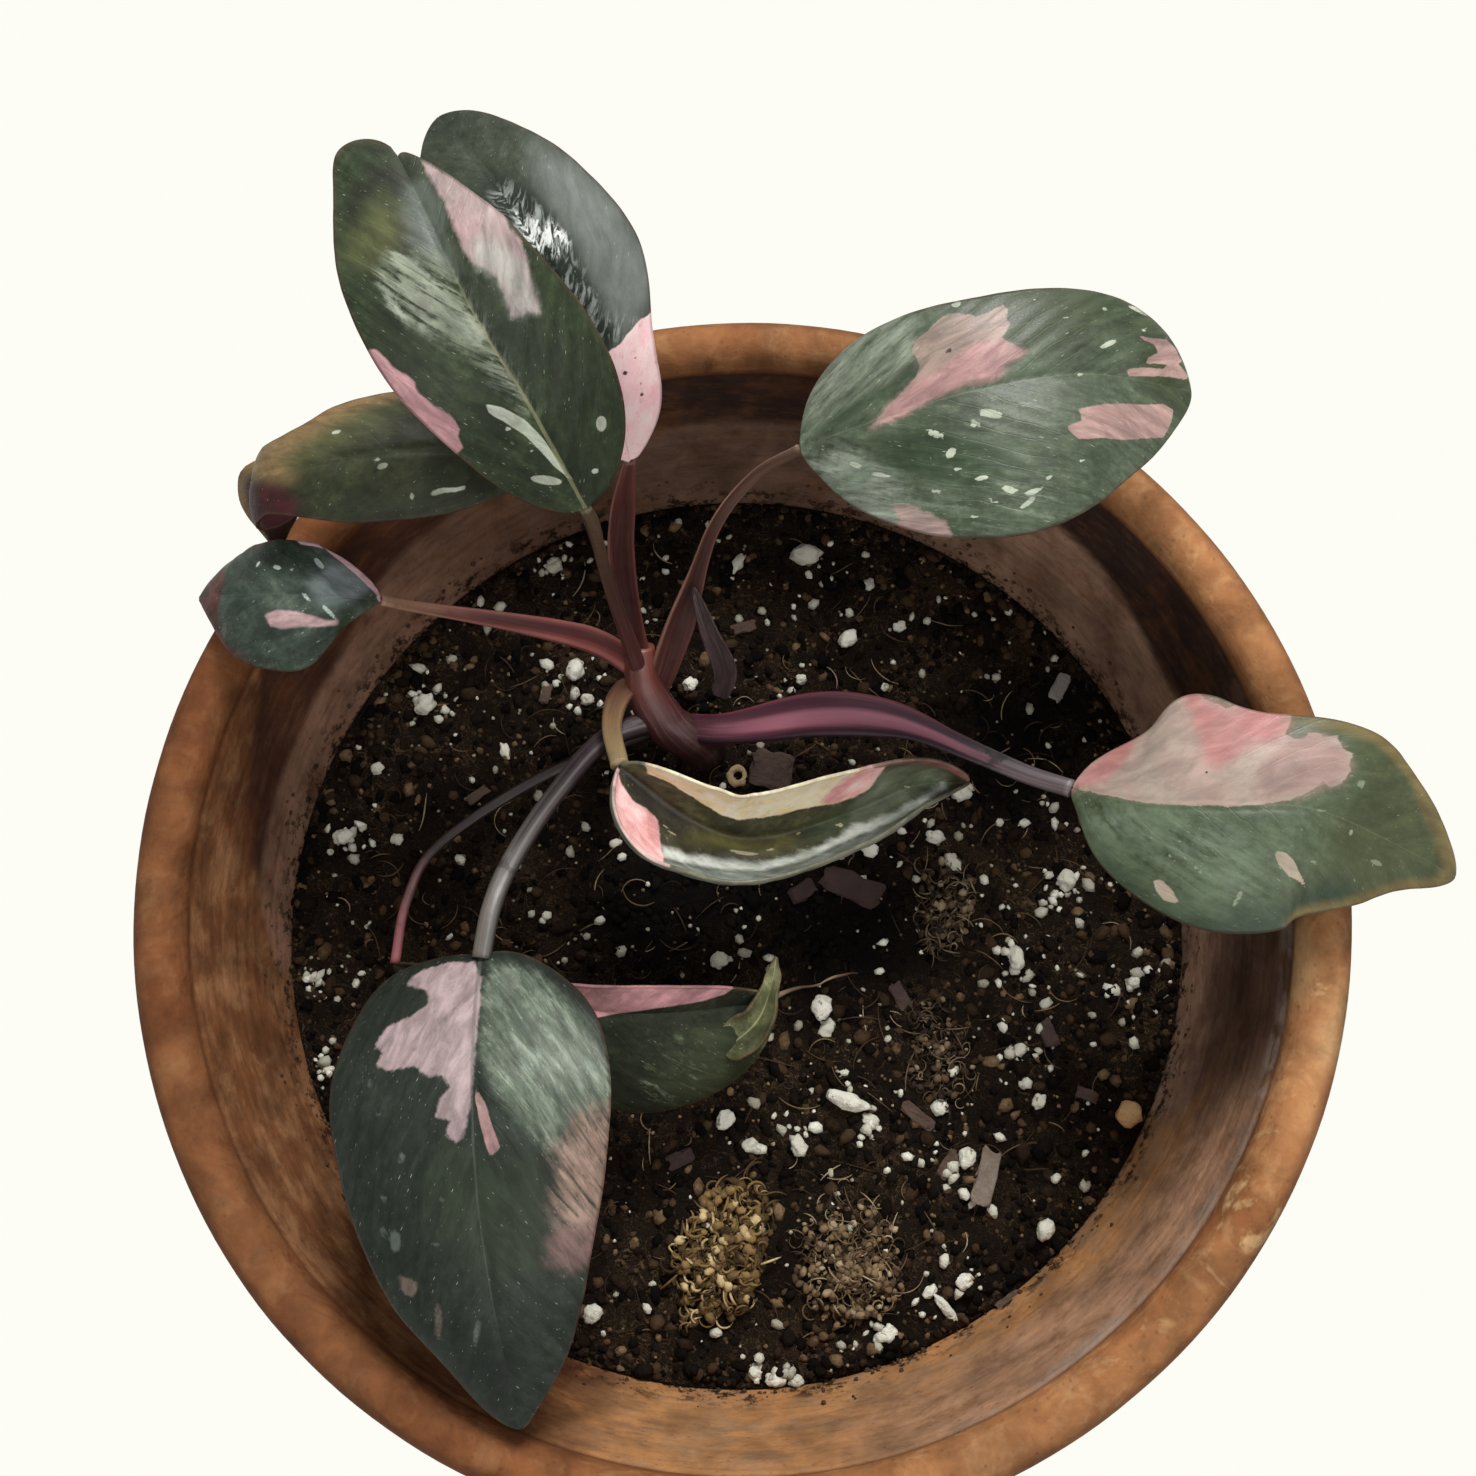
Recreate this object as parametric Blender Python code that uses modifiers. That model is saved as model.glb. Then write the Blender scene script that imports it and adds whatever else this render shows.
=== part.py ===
"""Young variegated philodendron in a turned clay pot.

The origin is the centre of the pot's underside, on the pot's axis. Metres, +Z up.
Lists of places and widths below are in millimetres and are scaled by MM where they are used.
"""
import math

import bmesh
import bpy
from mathutils import Vector, noise

MM = 0.001
GAP = 0.3 * MM              # clearance between touching pieces

# Pot: the driving sizes
POT_HEIGHT = 160 * MM
LIP_RADIUS = 90 * MM        # widest circle of the rounded lip
LIP_HALF = 4 * MM           # half the lip's width and height
COLLAR_HEIGHT = 38 * MM
COLLAR_TAPER = 3 * MM
COLLAR_STEP = 5 * MM
BASE_RADIUS = 57 * MM
FLOOR = 10 * MM
INNER_FLOOR_RADIUS = 49 * MM
DRAIN_RADIUS = 5 * MM
DRAIN_CIRCLE = 28 * MM
DRAIN_COUNT = 3
POT_STEPS = 60

# Soil
SOIL_LEVEL = 122.7 * MM      # on the pot's axis
SOIL_SLOPE = (-0.055, -0.045)    # how the surface rises towards +X and +Y: it lies highest at the front left
SOIL_RINGS = 21
SOIL_STEPS = 56
STEM_HOLE = (-7.3, 28.4)    # where the stem goes in, mm
STEM_HOLE_RADIUS = 4.6 * MM
STEM_HOLE_DEPTH = 22 * MM
# Lumps standing out of the soil: x, y, radius, height
LUMPS = [
    (-2, -53, 9, 3.4), (17, -56, 8.5, 2.8), (34, 2, 6, 1.8), (18, 4, 5, 1.6), (39, -43, 3.6, 1.6),
    (62, -33, 2.6, 2.2), (13, -16, 2.6, 1.8), (17, -31, 2.8, 1.7), (11, 62, 3.0, 1.9),
    (-24, -64, 2.4, 1.4), (5, -70, 3.0, 1.7), (35, -59, 3.0, 1.7), (36, -40, 2.4, 1.5),
    (45, -8, 2.6, 1.6), (-9, 39, 2.2, 1.3), (-29, 42, 2.4, 1.4), (-68, 13, 2.4, 1.4),
    (35, 8, 2.2, 1.3), (48, -51, 2.4, 1.5), (9, -38, 2.4, 1.5), (54, 38, 3.2, 1.4), (-55, 36, 2.8, 1.5),
]

# Leaf blades
BLADE_THICKNESS = 0.7 * MM
BLADE_STATIONS = 16
BLADE_RIBS = 8
DIRECTION_SPAN = 0.02       # share of a path on each side of a point that gives its direction there
# midrib: from the leaf's base to its tip, mm.
# left, right: half widths at seven stations, seen from above with the tip pointing away, mm.
# fold, curl: degrees by which each side stands up at the midrib, and bends up further to its edge.
# lobe, reach: how far each side runs back past the stalk and on past the tip, mm.
LEAVES = {
    "leaf_upper_left": dict(
        midrib=[(-18.6, 47.3, 190), (-23.9, 56, 202), (-29.5, 64.4, 210), (-34.1, 73.3, 214), (-40.2, 86.5, 212.5)],
        left=[4.1, 8.4, 11.5, 13.8, 13.2, 9.6, 6.5], right=[5.8, 10.3, 12.5, 12.2, 9.4, 5.7, 2.2],
        fold=(8, 8), curl=(-20, -20), reach=(13, 1.8)),
    "leaf_rear": dict(
        midrib=[(-14.1, 59.5, 176), (-16.1, 64.6, 189), (-21.2, 74.6, 199), (-29, 87.2, 203), (-38.2, 100, 200)],
        left=[4.5, 8, 11, 12, 11.5, 9, 4.5], right=[3.2, 6.9, 9.1, 12.8, 10.9, 7.7, 4.4],
        fold=(4, 8), curl=(-25, -25)),
    "leaf_far_left": dict(
        midrib=[(-23.7, 60.5, 168), (-33.1, 61.4, 176), (-46.5, 59.9, 180), (-59.1, 57.6, 181),
                (-68.3, 56.9, 178), (-70.3, 56.5, 169), (-70.5, 52.4, 160.5)],
        left=[2.7, 6, 9.5, 9.4, 5.8, 6.6, 2.6], right=[3, 7.6, 10.8, 10, 5.4, 4.6, 1.4],
        fold=(0, 0), curl=(-30, -30)),
    "leaf_small_left": dict(
        midrib=[(-52.4, 42, 166), (-60, 41.2, 171), (-68.6, 41.3, 171.5), (-76.4, 42.6, 167), (-81.5, 44, 161)],
        left=[1.2, 4.2, 10.6, 11, 8.6, 3.4, 1], right=[4, 8, 9.8, 10.4, 10.3, 9.4, 5.8],
        fold=(0, 0), curl=(-40, -40), reach=(0, 5)),
    "leaf_upper_right": dict(
        midrib=[(10.7, 61.7, 174), (21.8, 62.5, 182), (35.5, 64.9, 186), (51, 67.8, 184), (66.5, 68.4, 176)],
        left=[8, 12.5, 14, 14, 13.5, 12, 7.5], right=[4.5, 12, 19, 21.5, 18.5, 12.5, 5],
        fold=(6, 6), curl=(-18, -18)),
    "leaf_right": dict(
        midrib=[(50.1, 13.7, 159), (58.4, 10.3, 166), (68.6, 9.2, 170), (80.7, 8.5, 171),
                (91.6, 4.4, 168.5), (102.6, 0, 162.5)],
        left=[14, 18, 16.5, 14, 13.5, 9, 4], right=[3.5, 10.5, 17, 17.5, 13.5, 6, 2.5],
        fold=(4, 4), curl=(-15, -25), lobe=(3, 0)),
    "leaf_young": dict(
        midrib=[(-18.3, 20.2, 147), (-7.6, 12.7, 142), (2.6, 9.9, 139.5), (17.7, 13.8, 140.5),
                (28, 17.9, 141), (36.7, 18.9, 139)],
        left=[5.5, 10.5, 12, 12, 11, 7, 3], right=[11, 16, 14.5, 13, 11, 7, 2.5],
        fold=(50, -10), curl=(30, 115)),
    "leaf_front_left": dict(
        midrib=[(-36.3, -11.2, 162), (-35.8, -20.1, 168), (-34.9, -31.1, 172), (-33.5, -44.2, 173),
                (-31.4, -58.5, 170), (-28.7, -74.6, 162)],
        left=[8, 16, 19, 17.5, 13.5, 9, 3], right=[13, 18.5, 21.5, 19, 15, 8.5, 4],
        fold=(4, 4), curl=(-25, -30), lobe=(4, 4)),
    "leaf_low_front": dict(
        midrib=[(-55.3, -9.7, 136), (-42, -13.3, 141), (-27.2, -16.8, 145), (-13.2, -18.1, 146), (5.7, -15.8, 141)],
        left=[1, 2, 3, 4.5, 5, 4, 2], right=[3, 7, 11, 14, 16.5, 14, 8],
        fold=(40, -5), curl=(0, -40)),
}
LEAF_COLOURS = {
    "leaf_upper_left": (0.030, 0.062, 0.032), "leaf_rear": (0.018, 0.040, 0.026),
    "leaf_far_left": (0.042, 0.062, 0.022), "leaf_small_left": (0.020, 0.042, 0.036),
    "leaf_upper_right": (0.045, 0.090, 0.050), "leaf_right": (0.060, 0.110, 0.055),
    "leaf_young": (0.30, 0.28, 0.16), "leaf_front_left": (0.026, 0.052, 0.044),
    "leaf_low_front": (0.034, 0.062, 0.030),
}

# Leaf stalks: the blade that each one carries, its path from just behind the blade's foot down
# into the crown, and half widths along it, all in mm.
# flat is a stalk's depth as a share of its width; face is where its channel looks.
TOWARDS_FRONT = (0.2, -1.0, 0.7)
UPWARDS = (0, 0, 1)
STALKS = [
    dict(leaf="leaf_upper_left", path=[(-18.5, 47.9, 181), (-19.1, 47.4, 167), (-18.4, 44.1, 152), (-16, 37, 133)],
         width=[0.9, 0.9, 1.0, 1.2, 1.6], flat=0.9, face=TOWARDS_FRONT),
    dict(leaf="leaf_rear", path=[(-16.3, 57, 165), (-17.6, 52.6, 156), (-17.4, 46.7, 146), (-15.5, 37, 132)],
         width=[0.9, 1.9, 2.1, 1.7, 1.8], flat=0.55, face=TOWARDS_FRONT),
    dict(leaf="leaf_far_left", path=[(-22.3, 56.9, 158), (-20.4, 50.7, 147), (-17, 38, 131)],
         width=[1.0, 1.0, 1.1, 1.4], flat=0.9, face=TOWARDS_FRONT),
    dict(leaf="leaf_small_left", path=[(-47.6, 42.2, 161), (-34, 42.3, 151), (-22.7, 42, 140), (-15, 38, 132)],
         width=[0.8, 1.1, 1.7, 2.2, 2.0], flat=0.7, face=UPWARDS),
    dict(leaf="leaf_upper_right", path=[(3.7, 60, 168), (-2.7, 55.1, 160), (-7.8, 47.1, 147), (-14.5, 35, 131)],
         width=[0.9, 1.0, 1.3, 2.5, 1.9], flat=0.6, face=TOWARDS_FRONT),
    dict(leaf="leaf_right", path=[(44.4, 16.5, 155), (37.3, 20.4, 152), (25.5, 26.6, 147.5),
               (13.1, 28.8, 143.5), (-1, 28.8, 135), (-9, 30, 130)],
         width=[1.4, 1.5, 1.9, 3.3, 3.6, 2.8, 2.4], flat=0.6, face=UPWARDS),
    dict(leaf="leaf_young", path=[(-20.4, 28.2, 141), (-19.3, 35, 135.5), (-15, 38, 132)],
         width=[1.5, 1.6, 1.9, 1.9], flat=0.8, face=UPWARDS),
    dict(leaf="leaf_front_left", path=[(-35.1, -3.2, 161), (-32.7, 4.8, 157), (-28.3, 15.5, 148),
               (-22.1, 26.5, 137), (-13.5, 31.5, 131)],
         width=[1.4, 1.5, 1.5, 1.6, 1.8, 2.0], flat=0.85, face=UPWARDS),
    dict(leaf="leaf_low_front", path=[(-54.1, 0.9, 134.5), (-49.8, 10.4, 131.5), (-34.1, 22, 128),
               (-13.5, 30.5, 129.5)],
         width=[0.8, 0.8, 0.9, 1.0, 1.4], flat=0.9, face=UPWARDS),
]
STEM = dict(path=[(-16.4, 42, 138), (-15.8, 36, 134), (-12.4, 30.5, 131.3), (-8.2, 28.5, 128.5), (-7.3, 28.4, 122),
                  (-7.3, 28.4, 103)],
            width=[2.4, 3.4, 3.8, 4.0, 4.1, 3.6], flat=1.0, face=(1, 0, 0.2))
STALK_SIDES = 10
FOOT_CLEARANCE = 0.7         # from a blade's foot to its stalk's end, mm
STALK_RINGS = 12
CHANNEL_DEPTH = 0.35        # how deep the channel cuts into a stalk, as a share of its depth

# Dry sheath, a thin folded strip standing at the crown
DRY_SHEATH = dict(
    midrib=[(-3.2, 34.5, 133.5), (-2.4, 37.5, 138), (-4.4, 42, 145), (-6.6, 48, 151)],
    left=[1.5, 2, 2.2, 2, 1.6, 1.1, 0.5], right=[1.5, 2, 2.2, 2, 1.6, 1.1, 0.5],
    fold=(25, 25), curl=(20, 20))

COLOURS = {
    "clay": ((0.30, 0.135, 0.055), 0.85),
    "soil": ((0.022, 0.016, 0.011), 0.95),
    "stalk": ((0.105, 0.032, 0.036), 0.5),
    "dry": ((0.12, 0.085, 0.065), 0.8),
}
LEAF_ROUGHNESS = 0.38


def clear_scene():
    for item in list(bpy.data.objects):
        bpy.data.objects.remove(item, do_unlink=True)


def collection(name):
    group = bpy.data.collections.new(name)
    bpy.context.scene.collection.children.link(group)
    return group


def material(name, colour, roughness):
    made = bpy.data.materials.new(name)
    made.use_nodes = True
    shader = made.node_tree.nodes["Principled BSDF"]
    shader.inputs["Base Color"].default_value = (*colour, 1)
    shader.inputs["Roughness"].default_value = roughness
    made.diffuse_color = (*colour, 1)
    return made


def add_object(name, bm, group, mat=None, smooth=True):
    mesh = bpy.data.meshes.new(name)
    bm.to_mesh(mesh)
    bm.free()
    item = bpy.data.objects.new(name, mesh)
    group.objects.link(item)
    if mat:
        mesh.materials.append(mat)
    if smooth:
        mesh.shade_smooth()
    return item


def use_boolean(item, operation, **operand):
    cut = item.modifiers.new(operation.lower(), "BOOLEAN")
    cut.operation = operation
    cut.solver = "EXACT"
    if "collection" in operand:
        cut.operand_type = "COLLECTION"
        cut.collection = operand["collection"]
    else:
        cut.object = operand["target"]
    return cut


def apply_modifiers(item):
    bpy.context.view_layer.update()
    evaluated = item.evaluated_get(bpy.context.evaluated_depsgraph_get())
    mesh = bpy.data.meshes.new_from_object(evaluated)
    item.modifiers.clear()
    item.data = mesh


def cylinder_cutter(name, group, radius, low, high, place):
    bm = bmesh.new()
    bmesh.ops.create_cone(bm, cap_ends=True, segments=24, radius1=radius, radius2=radius, depth=high - low)
    bmesh.ops.translate(bm, verts=bm.verts, vec=(place[0], place[1], (high + low) / 2))
    item = add_object(name, bm, group, smooth=False)
    item.hide_render = True
    item.display_type = "WIRE"
    return item


def inner_radius(height):
    """Radius of the pot's smooth inner wall at a height."""
    lip_height = POT_HEIGHT - LIP_HALF
    lip_inner = LIP_RADIUS - 2 * LIP_HALF
    share = (height - FLOOR) / (lip_height - FLOOR)
    return INNER_FLOOR_RADIUS + (lip_inner - INNER_FLOOR_RADIUS) * share


def pot_profile():
    """Points (radius, height) from the inside of the floor, over the lip, to the underside."""
    fillet = 5 * MM
    lip_height = POT_HEIGHT - LIP_HALF
    points = [(0, FLOOR), (INNER_FLOOR_RADIUS - fillet, FLOOR)]
    for step in range(1, 4):
        angle = math.radians(90 * step / 4)
        points.append((INNER_FLOOR_RADIUS - fillet + fillet * math.sin(angle),
                       FLOOR + fillet * (1 - math.cos(angle))))
    points.append((inner_radius(FLOOR + 1.4 * fillet), FLOOR + 1.4 * fillet))
    for share in (0.35, 0.7):
        height = FLOOR + (lip_height - FLOOR) * share
        points.append((inner_radius(height), height))
    centre = LIP_RADIUS - LIP_HALF
    for step in range(9):
        angle = math.pi * (1 - step / 8)
        points.append((centre + LIP_HALF * math.cos(angle), lip_height + LIP_HALF * math.sin(angle)))
    collar_foot = POT_HEIGHT - COLLAR_HEIGHT
    collar_radius = LIP_RADIUS - COLLAR_TAPER
    points += [(collar_radius + 0.3 * MM, collar_foot + 2.5 * MM), (collar_radius - 1.2 * MM, collar_foot),
               (collar_radius - COLLAR_STEP, collar_foot - 1.5 * MM),
               (BASE_RADIUS + 0.6 * MM, 3 * MM), (BASE_RADIUS - 2 * MM, 0), (0, 0)]
    return points


def make_pot(group, cutters, mat):
    bm = bmesh.new()
    last = None
    for radius, height in pot_profile():
        vert = bm.verts.new((radius, 0, height))
        if last:
            bm.edges.new((last, vert))
        last = vert
    pot = add_object("pot", bm, group, mat, smooth=False)
    turn = pot.modifiers.new("turn", "SCREW")
    turn.steps = turn.render_steps = POT_STEPS
    turn.use_merge_vertices = True
    turn.merge_threshold = 0.0001
    turn.use_smooth_shade = True
    for number in range(DRAIN_COUNT):
        angle = 2 * math.pi * (number + 0.25) / DRAIN_COUNT
        place = (DRAIN_CIRCLE * math.cos(angle), DRAIN_CIRCLE * math.sin(angle))
        hole = cylinder_cutter(f"drain_cutter_{number + 1}", cutters, DRAIN_RADIUS, -2 * MM, FLOOR + 2 * MM, place)
        use_boolean(pot, "DIFFERENCE", target=hole)
    return pot


def soil_plane(x, y):
    """Height of the sloping ground under the crumbs."""
    return SOIL_LEVEL + SOIL_SLOPE[0] * x + SOIL_SLOPE[1] * y


def soil_edge(angle):
    """Radius at which the sloping ground meets the pot's wall, less the gap."""
    radius = inner_radius(SOIL_LEVEL) - GAP
    for _ in range(3):
        height = soil_plane(radius * math.cos(angle), radius * math.sin(angle))
        radius = inner_radius(height) - GAP
    return radius


def soil_height(x, y):
    """Crumbly surface: rolling ground, fine crumbs and the bigger lumps."""
    place = Vector((x, y, 0)) / MM
    height = 0.9 * noise.noise(place * 0.045) + 0.8 * noise.noise(place * 0.16) + 0.55 * noise.noise(place * 0.4)
    for cx, cy, radius, tall in LUMPS:
        near = 1 - ((place.x - cx) ** 2 + (place.y - cy) ** 2) / (1.5 * radius) ** 2
        if near > 0:
            height += tall * near * near
    around_stem = (place.x - STEM_HOLE[0]) ** 2 + (place.y - STEM_HOLE[1]) ** 2
    height -= 1.6 * math.exp(-around_stem / 90)
    return height * MM


def make_soil(group, cutters, mat):
    bm = bmesh.new()
    edge = inner_radius(SOIL_LEVEL) - GAP
    foot = FLOOR + GAP
    fillet = 6 * MM
    rows = [(edge * step / SOIL_RINGS, SOIL_LEVEL) for step in range(SOIL_RINGS + 1)]
    rows += [(inner_radius(foot + fillet) - GAP, foot + fillet), (INNER_FLOOR_RADIUS - fillet, foot), (0, foot)]
    verts = [bm.verts.new((radius, 0, height)) for radius, height in rows]
    edges = [bm.edges.new(pair) for pair in zip(verts, verts[1:])]
    bmesh.ops.spin(bm, geom=verts + edges, axis=(0, 0, 1), cent=(0, 0, 0), angle=2 * math.pi,
                   steps=SOIL_STEPS, use_merge=True)
    bmesh.ops.remove_doubles(bm, verts=bm.verts, dist=0.01 * MM)
    for vert in bm.verts:
        if vert.co.z < SOIL_LEVEL - MM:
            continue
        share = math.hypot(vert.co.x, vert.co.y) / edge
        angle = math.atan2(vert.co.y, vert.co.x)
        radius = share * soil_edge(angle)
        vert.co.x, vert.co.y = radius * math.cos(angle), radius * math.sin(angle)
        vert.co.z = soil_plane(vert.co.x, vert.co.y)
        if share < 1 - 0.5 / SOIL_RINGS:
            vert.co.z += soil_height(vert.co.x, vert.co.y)
    bmesh.ops.recalc_face_normals(bm, faces=bm.faces)
    bmesh.ops.triangulate(bm, faces=bm.faces)
    soil = add_object("soil", bm, group, mat, smooth=False)
    place = (STEM_HOLE[0] * MM, STEM_HOLE[1] * MM)
    hole = cylinder_cutter("stem_hole_cutter", cutters, STEM_HOLE_RADIUS, SOIL_LEVEL - STEM_HOLE_DEPTH,
                           SOIL_LEVEL + 10 * MM, place)
    use_boolean(soil, "DIFFERENCE", target=hole)
    return soil


def between(values, share):
    """Smooth curve through evenly spaced values, read at a share from 0 to 1."""
    count = len(values) - 1
    at = min(max(share, 0), 1) * count
    first = min(int(at), count - 1)
    part = at - first
    v1, v2 = values[first], values[first + 1]
    v0 = values[first - 1] if first else 2 * v1 - v2
    v3 = values[first + 2] if first + 2 <= count else 2 * v2 - v1
    return 0.5 * (2 * v1 + (v2 - v0) * part + (2 * v0 - 5 * v1 + 4 * v2 - v3) * part ** 2
                  + (3 * v1 - v0 - 3 * v2 + v3) * part ** 3)


def path_reader(points):
    """Returns a function that gives the place and direction at a share of the path's length."""
    points = [Vector(p) * MM for p in points]
    spans = [(b - a).length for a, b in zip(points, points[1:])]
    total = sum(spans)

    def place(share):
        left = min(max(share, 0), 1) * total
        first = 0
        while first < len(spans) - 1 and left > spans[first]:
            left -= spans[first]
            first += 1
        near = points[max(first - 1, 0):first + 3]
        if first == 0:
            near = [2 * points[0] - points[1]] + near
        if len(near) < 4:
            near = near + [2 * points[-1] - points[-2]]
        return between_points(near, left / spans[first])

    def read(share):
        middle = min(max(share, DIRECTION_SPAN), 1 - DIRECTION_SPAN)
        along = (place(middle + DIRECTION_SPAN) - place(middle - DIRECTION_SPAN)).normalized()
        beyond = share - min(max(share, 0), 1)
        return place(share) + along * beyond * total, along

    return read, total


def between_points(four, part):
    p0, p1, p2, p3 = four
    return 0.5 * (2 * p1 + (p2 - p0) * part + (2 * p0 - 5 * p1 + 4 * p2 - p3) * part ** 2
                  + (3 * p1 - p0 - 3 * p2 + p3) * part ** 3)


def blade_point(spec, read, total, turn, across):
    """Place on a blade: turn runs 0 to pi from base to tip, across -1 to 1 from left to right."""
    side = 0 if across < 0 else 1
    widths = [0, *spec["left" if side == 0 else "right"], 0]
    half = max(between(widths, turn / math.pi), 0.02) * MM
    share = (1 - math.cos(turn)) / 2
    out = abs(across)
    bulge = out ** 1.5 * math.sqrt(max(math.sin(turn), 0)) * MM / total
    along = share + bulge * (spec.get("reach", (0, 0))[side] * share ** 3
                             - spec.get("lobe", (0, 0))[side] * (1 - share) ** 3 * 1.3)
    centre, forward = read(along)
    sideways = forward.cross(Vector((0, 0, 1))).normalized()
    upward = sideways.cross(forward)
    fold = math.radians(spec["fold"][side])
    bend = math.radians(spec["curl"][side]) / half
    far = out * half
    if abs(bend) < 1e-3:
        reach, rise = far * math.cos(fold), far * math.sin(fold)
    else:
        reach = (math.sin(fold + bend * far) - math.sin(fold)) / bend
        rise = (math.cos(fold) - math.cos(fold + bend * far)) / bend
    return centre + sideways * reach * (1 if side else -1) + upward * rise


def make_blade(name, spec, group, mat, stations=BLADE_STATIONS, ribs=BLADE_RIBS):
    read, total = path_reader(spec["midrib"])
    bm = bmesh.new()
    bmesh.ops.create_grid(bm, x_segments=stations, y_segments=ribs, size=1)
    for vert in bm.verts:
        turn = math.pi * (vert.co.x + 1) / 2
        vert.co = blade_point(spec, read, total, turn, vert.co.y * -1)
    bmesh.ops.remove_doubles(bm, verts=bm.verts, dist=0.05 * MM)
    bmesh.ops.triangulate(bm, faces=bm.faces)
    item = add_object(name, bm, group, mat)
    wall = item.modifiers.new("thickness", "SOLIDIFY")
    wall.thickness = BLADE_THICKNESS
    wall.offset = 0
    wall.use_even_offset = False
    return item


def make_stalk(name, spec, group, mat=None):
    """A channelled rod lofted along its path."""
    read, total = path_reader(spec["path"])
    bm = bmesh.new()
    bmesh.ops.create_cone(bm, cap_ends=True, segments=STALK_SIDES, radius1=1, radius2=1, depth=1)
    for ring in range(1, STALK_RINGS):
        level = ring / STALK_RINGS - 0.5
        bmesh.ops.bisect_plane(bm, geom=bm.verts[:] + bm.edges[:] + bm.faces[:], plane_co=(0, 0, level),
                               plane_no=(0, 0, 1))
    face = Vector(spec["face"])
    for vert in bm.verts:
        share = vert.co.z + 0.5
        centre, forward = read(share)
        sideways = forward.cross(face).normalized()
        upward = sideways.cross(forward)
        half = between(spec["width"], share) * MM
        lift = vert.co.y * spec["flat"]
        if spec["flat"] < 1 and lift > 0:
            lift *= 1 - CHANNEL_DEPTH * (1 - vert.co.x ** 2)
        vert.co = centre + sideways * half * vert.co.x + upward * half * lift
    bmesh.ops.recalc_face_normals(bm, faces=bm.faces)
    bmesh.ops.triangulate(bm, faces=bm.faces)
    return add_object(name, bm, group, mat)


def make_stem(group, mat):
    """The stem with the nine stalks grown out of it, joined to one body."""
    parts = collection("stalks_to_join")
    for spec in STALKS:
        foot = Vector(LEAVES[spec["leaf"]]["midrib"][0])
        lead = (Vector(spec["path"][0]) - foot).normalized() * FOOT_CLEARANCE
        make_stalk(f"stalk_of_{spec['leaf']}", {**spec, "path": [foot + lead, *spec["path"]]}, parts)
    stem = make_stalk("stem_and_stalks", STEM, group, mat)
    use_boolean(stem, "UNION", collection=parts)
    apply_modifiers(stem)
    for part in list(parts.objects):
        bpy.data.objects.remove(part, do_unlink=True)
    bpy.data.collections.remove(parts)
    return stem


def main():
    clear_scene()
    group = collection("potted_philodendron")
    cutters = collection("cutters")
    mats = {name: material(name, *look) for name, look in COLOURS.items()}
    make_pot(group, cutters, mats["clay"])
    make_soil(group, cutters, mats["soil"])
    make_stem(group, mats["stalk"])
    make_blade("dry_sheath", DRY_SHEATH, group, mats["dry"], stations=8, ribs=4)
    for name, spec in LEAVES.items():
        make_blade(name, spec, group, material(name, LEAF_COLOURS[name], LEAF_ROUGHNESS))


main()
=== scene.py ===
import math
import random

import bmesh
import bpy
import numpy as np
from mathutils import Matrix, Vector, noise


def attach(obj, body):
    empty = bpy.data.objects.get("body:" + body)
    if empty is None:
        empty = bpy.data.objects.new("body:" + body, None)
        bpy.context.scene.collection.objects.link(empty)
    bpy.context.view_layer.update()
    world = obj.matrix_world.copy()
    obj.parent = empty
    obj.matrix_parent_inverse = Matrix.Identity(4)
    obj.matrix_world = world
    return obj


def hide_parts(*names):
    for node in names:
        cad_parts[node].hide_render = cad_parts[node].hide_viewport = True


# A young variegated philodendron in a turned clay pot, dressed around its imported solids.
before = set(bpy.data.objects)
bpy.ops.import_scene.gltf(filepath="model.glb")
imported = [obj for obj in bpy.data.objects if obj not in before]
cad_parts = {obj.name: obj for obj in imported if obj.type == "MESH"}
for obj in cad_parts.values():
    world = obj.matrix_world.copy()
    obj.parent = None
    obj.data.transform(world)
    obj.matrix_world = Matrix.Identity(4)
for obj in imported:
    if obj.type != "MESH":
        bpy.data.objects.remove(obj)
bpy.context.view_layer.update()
mm = 0.001
scene = bpy.context.scene
# where the photograph was taken from, fitted to the pot's rim: metres, lens and film in millimetres
view = dict(place=(11.98 * mm, -32.26 * mm, 406.81 * mm), up=(0.0097, 0.977, 0.213),
            back=(0.0442, -0.2133, 0.976), lens=41.46, film=36, pixels=1476)


# a colour as it reads on a screen, 0 to 255, made linear
def tone(red, green, blue):
    shares = [value / 255 for value in (red, green, blue)]
    return tuple(c / 12.92 if c <= 0.04045 else ((c + 0.055) / 1.055) ** 2.4 for c in shares) + (1.0,)


# the paint that reads as the tone in the photograph where the studio's light makes it so many times as bright
def skin(shown, light):
    return tuple(min(part / light, 1) for part in tone(*shown)[:3]) + (1.0,)


# a node's output, which adds, takes away and multiplies like a number
class Level:
    def __init__(self, paint, socket):
        self.paint = paint
        self.socket = socket

    def __add__(self, other):
        return self.paint.math("ADD", self, other)

    def __sub__(self, other):
        return self.paint.math("SUBTRACT", self, other)

    def __rsub__(self, other):
        return self.paint.math("SUBTRACT", other, self)

    def __mul__(self, other):
        return self.paint.math("MULTIPLY", self, other)

    def __abs__(self):
        return self.paint.math("ABSOLUTE", self)

    __radd__ = __add__
    __rmul__ = __mul__


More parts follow.
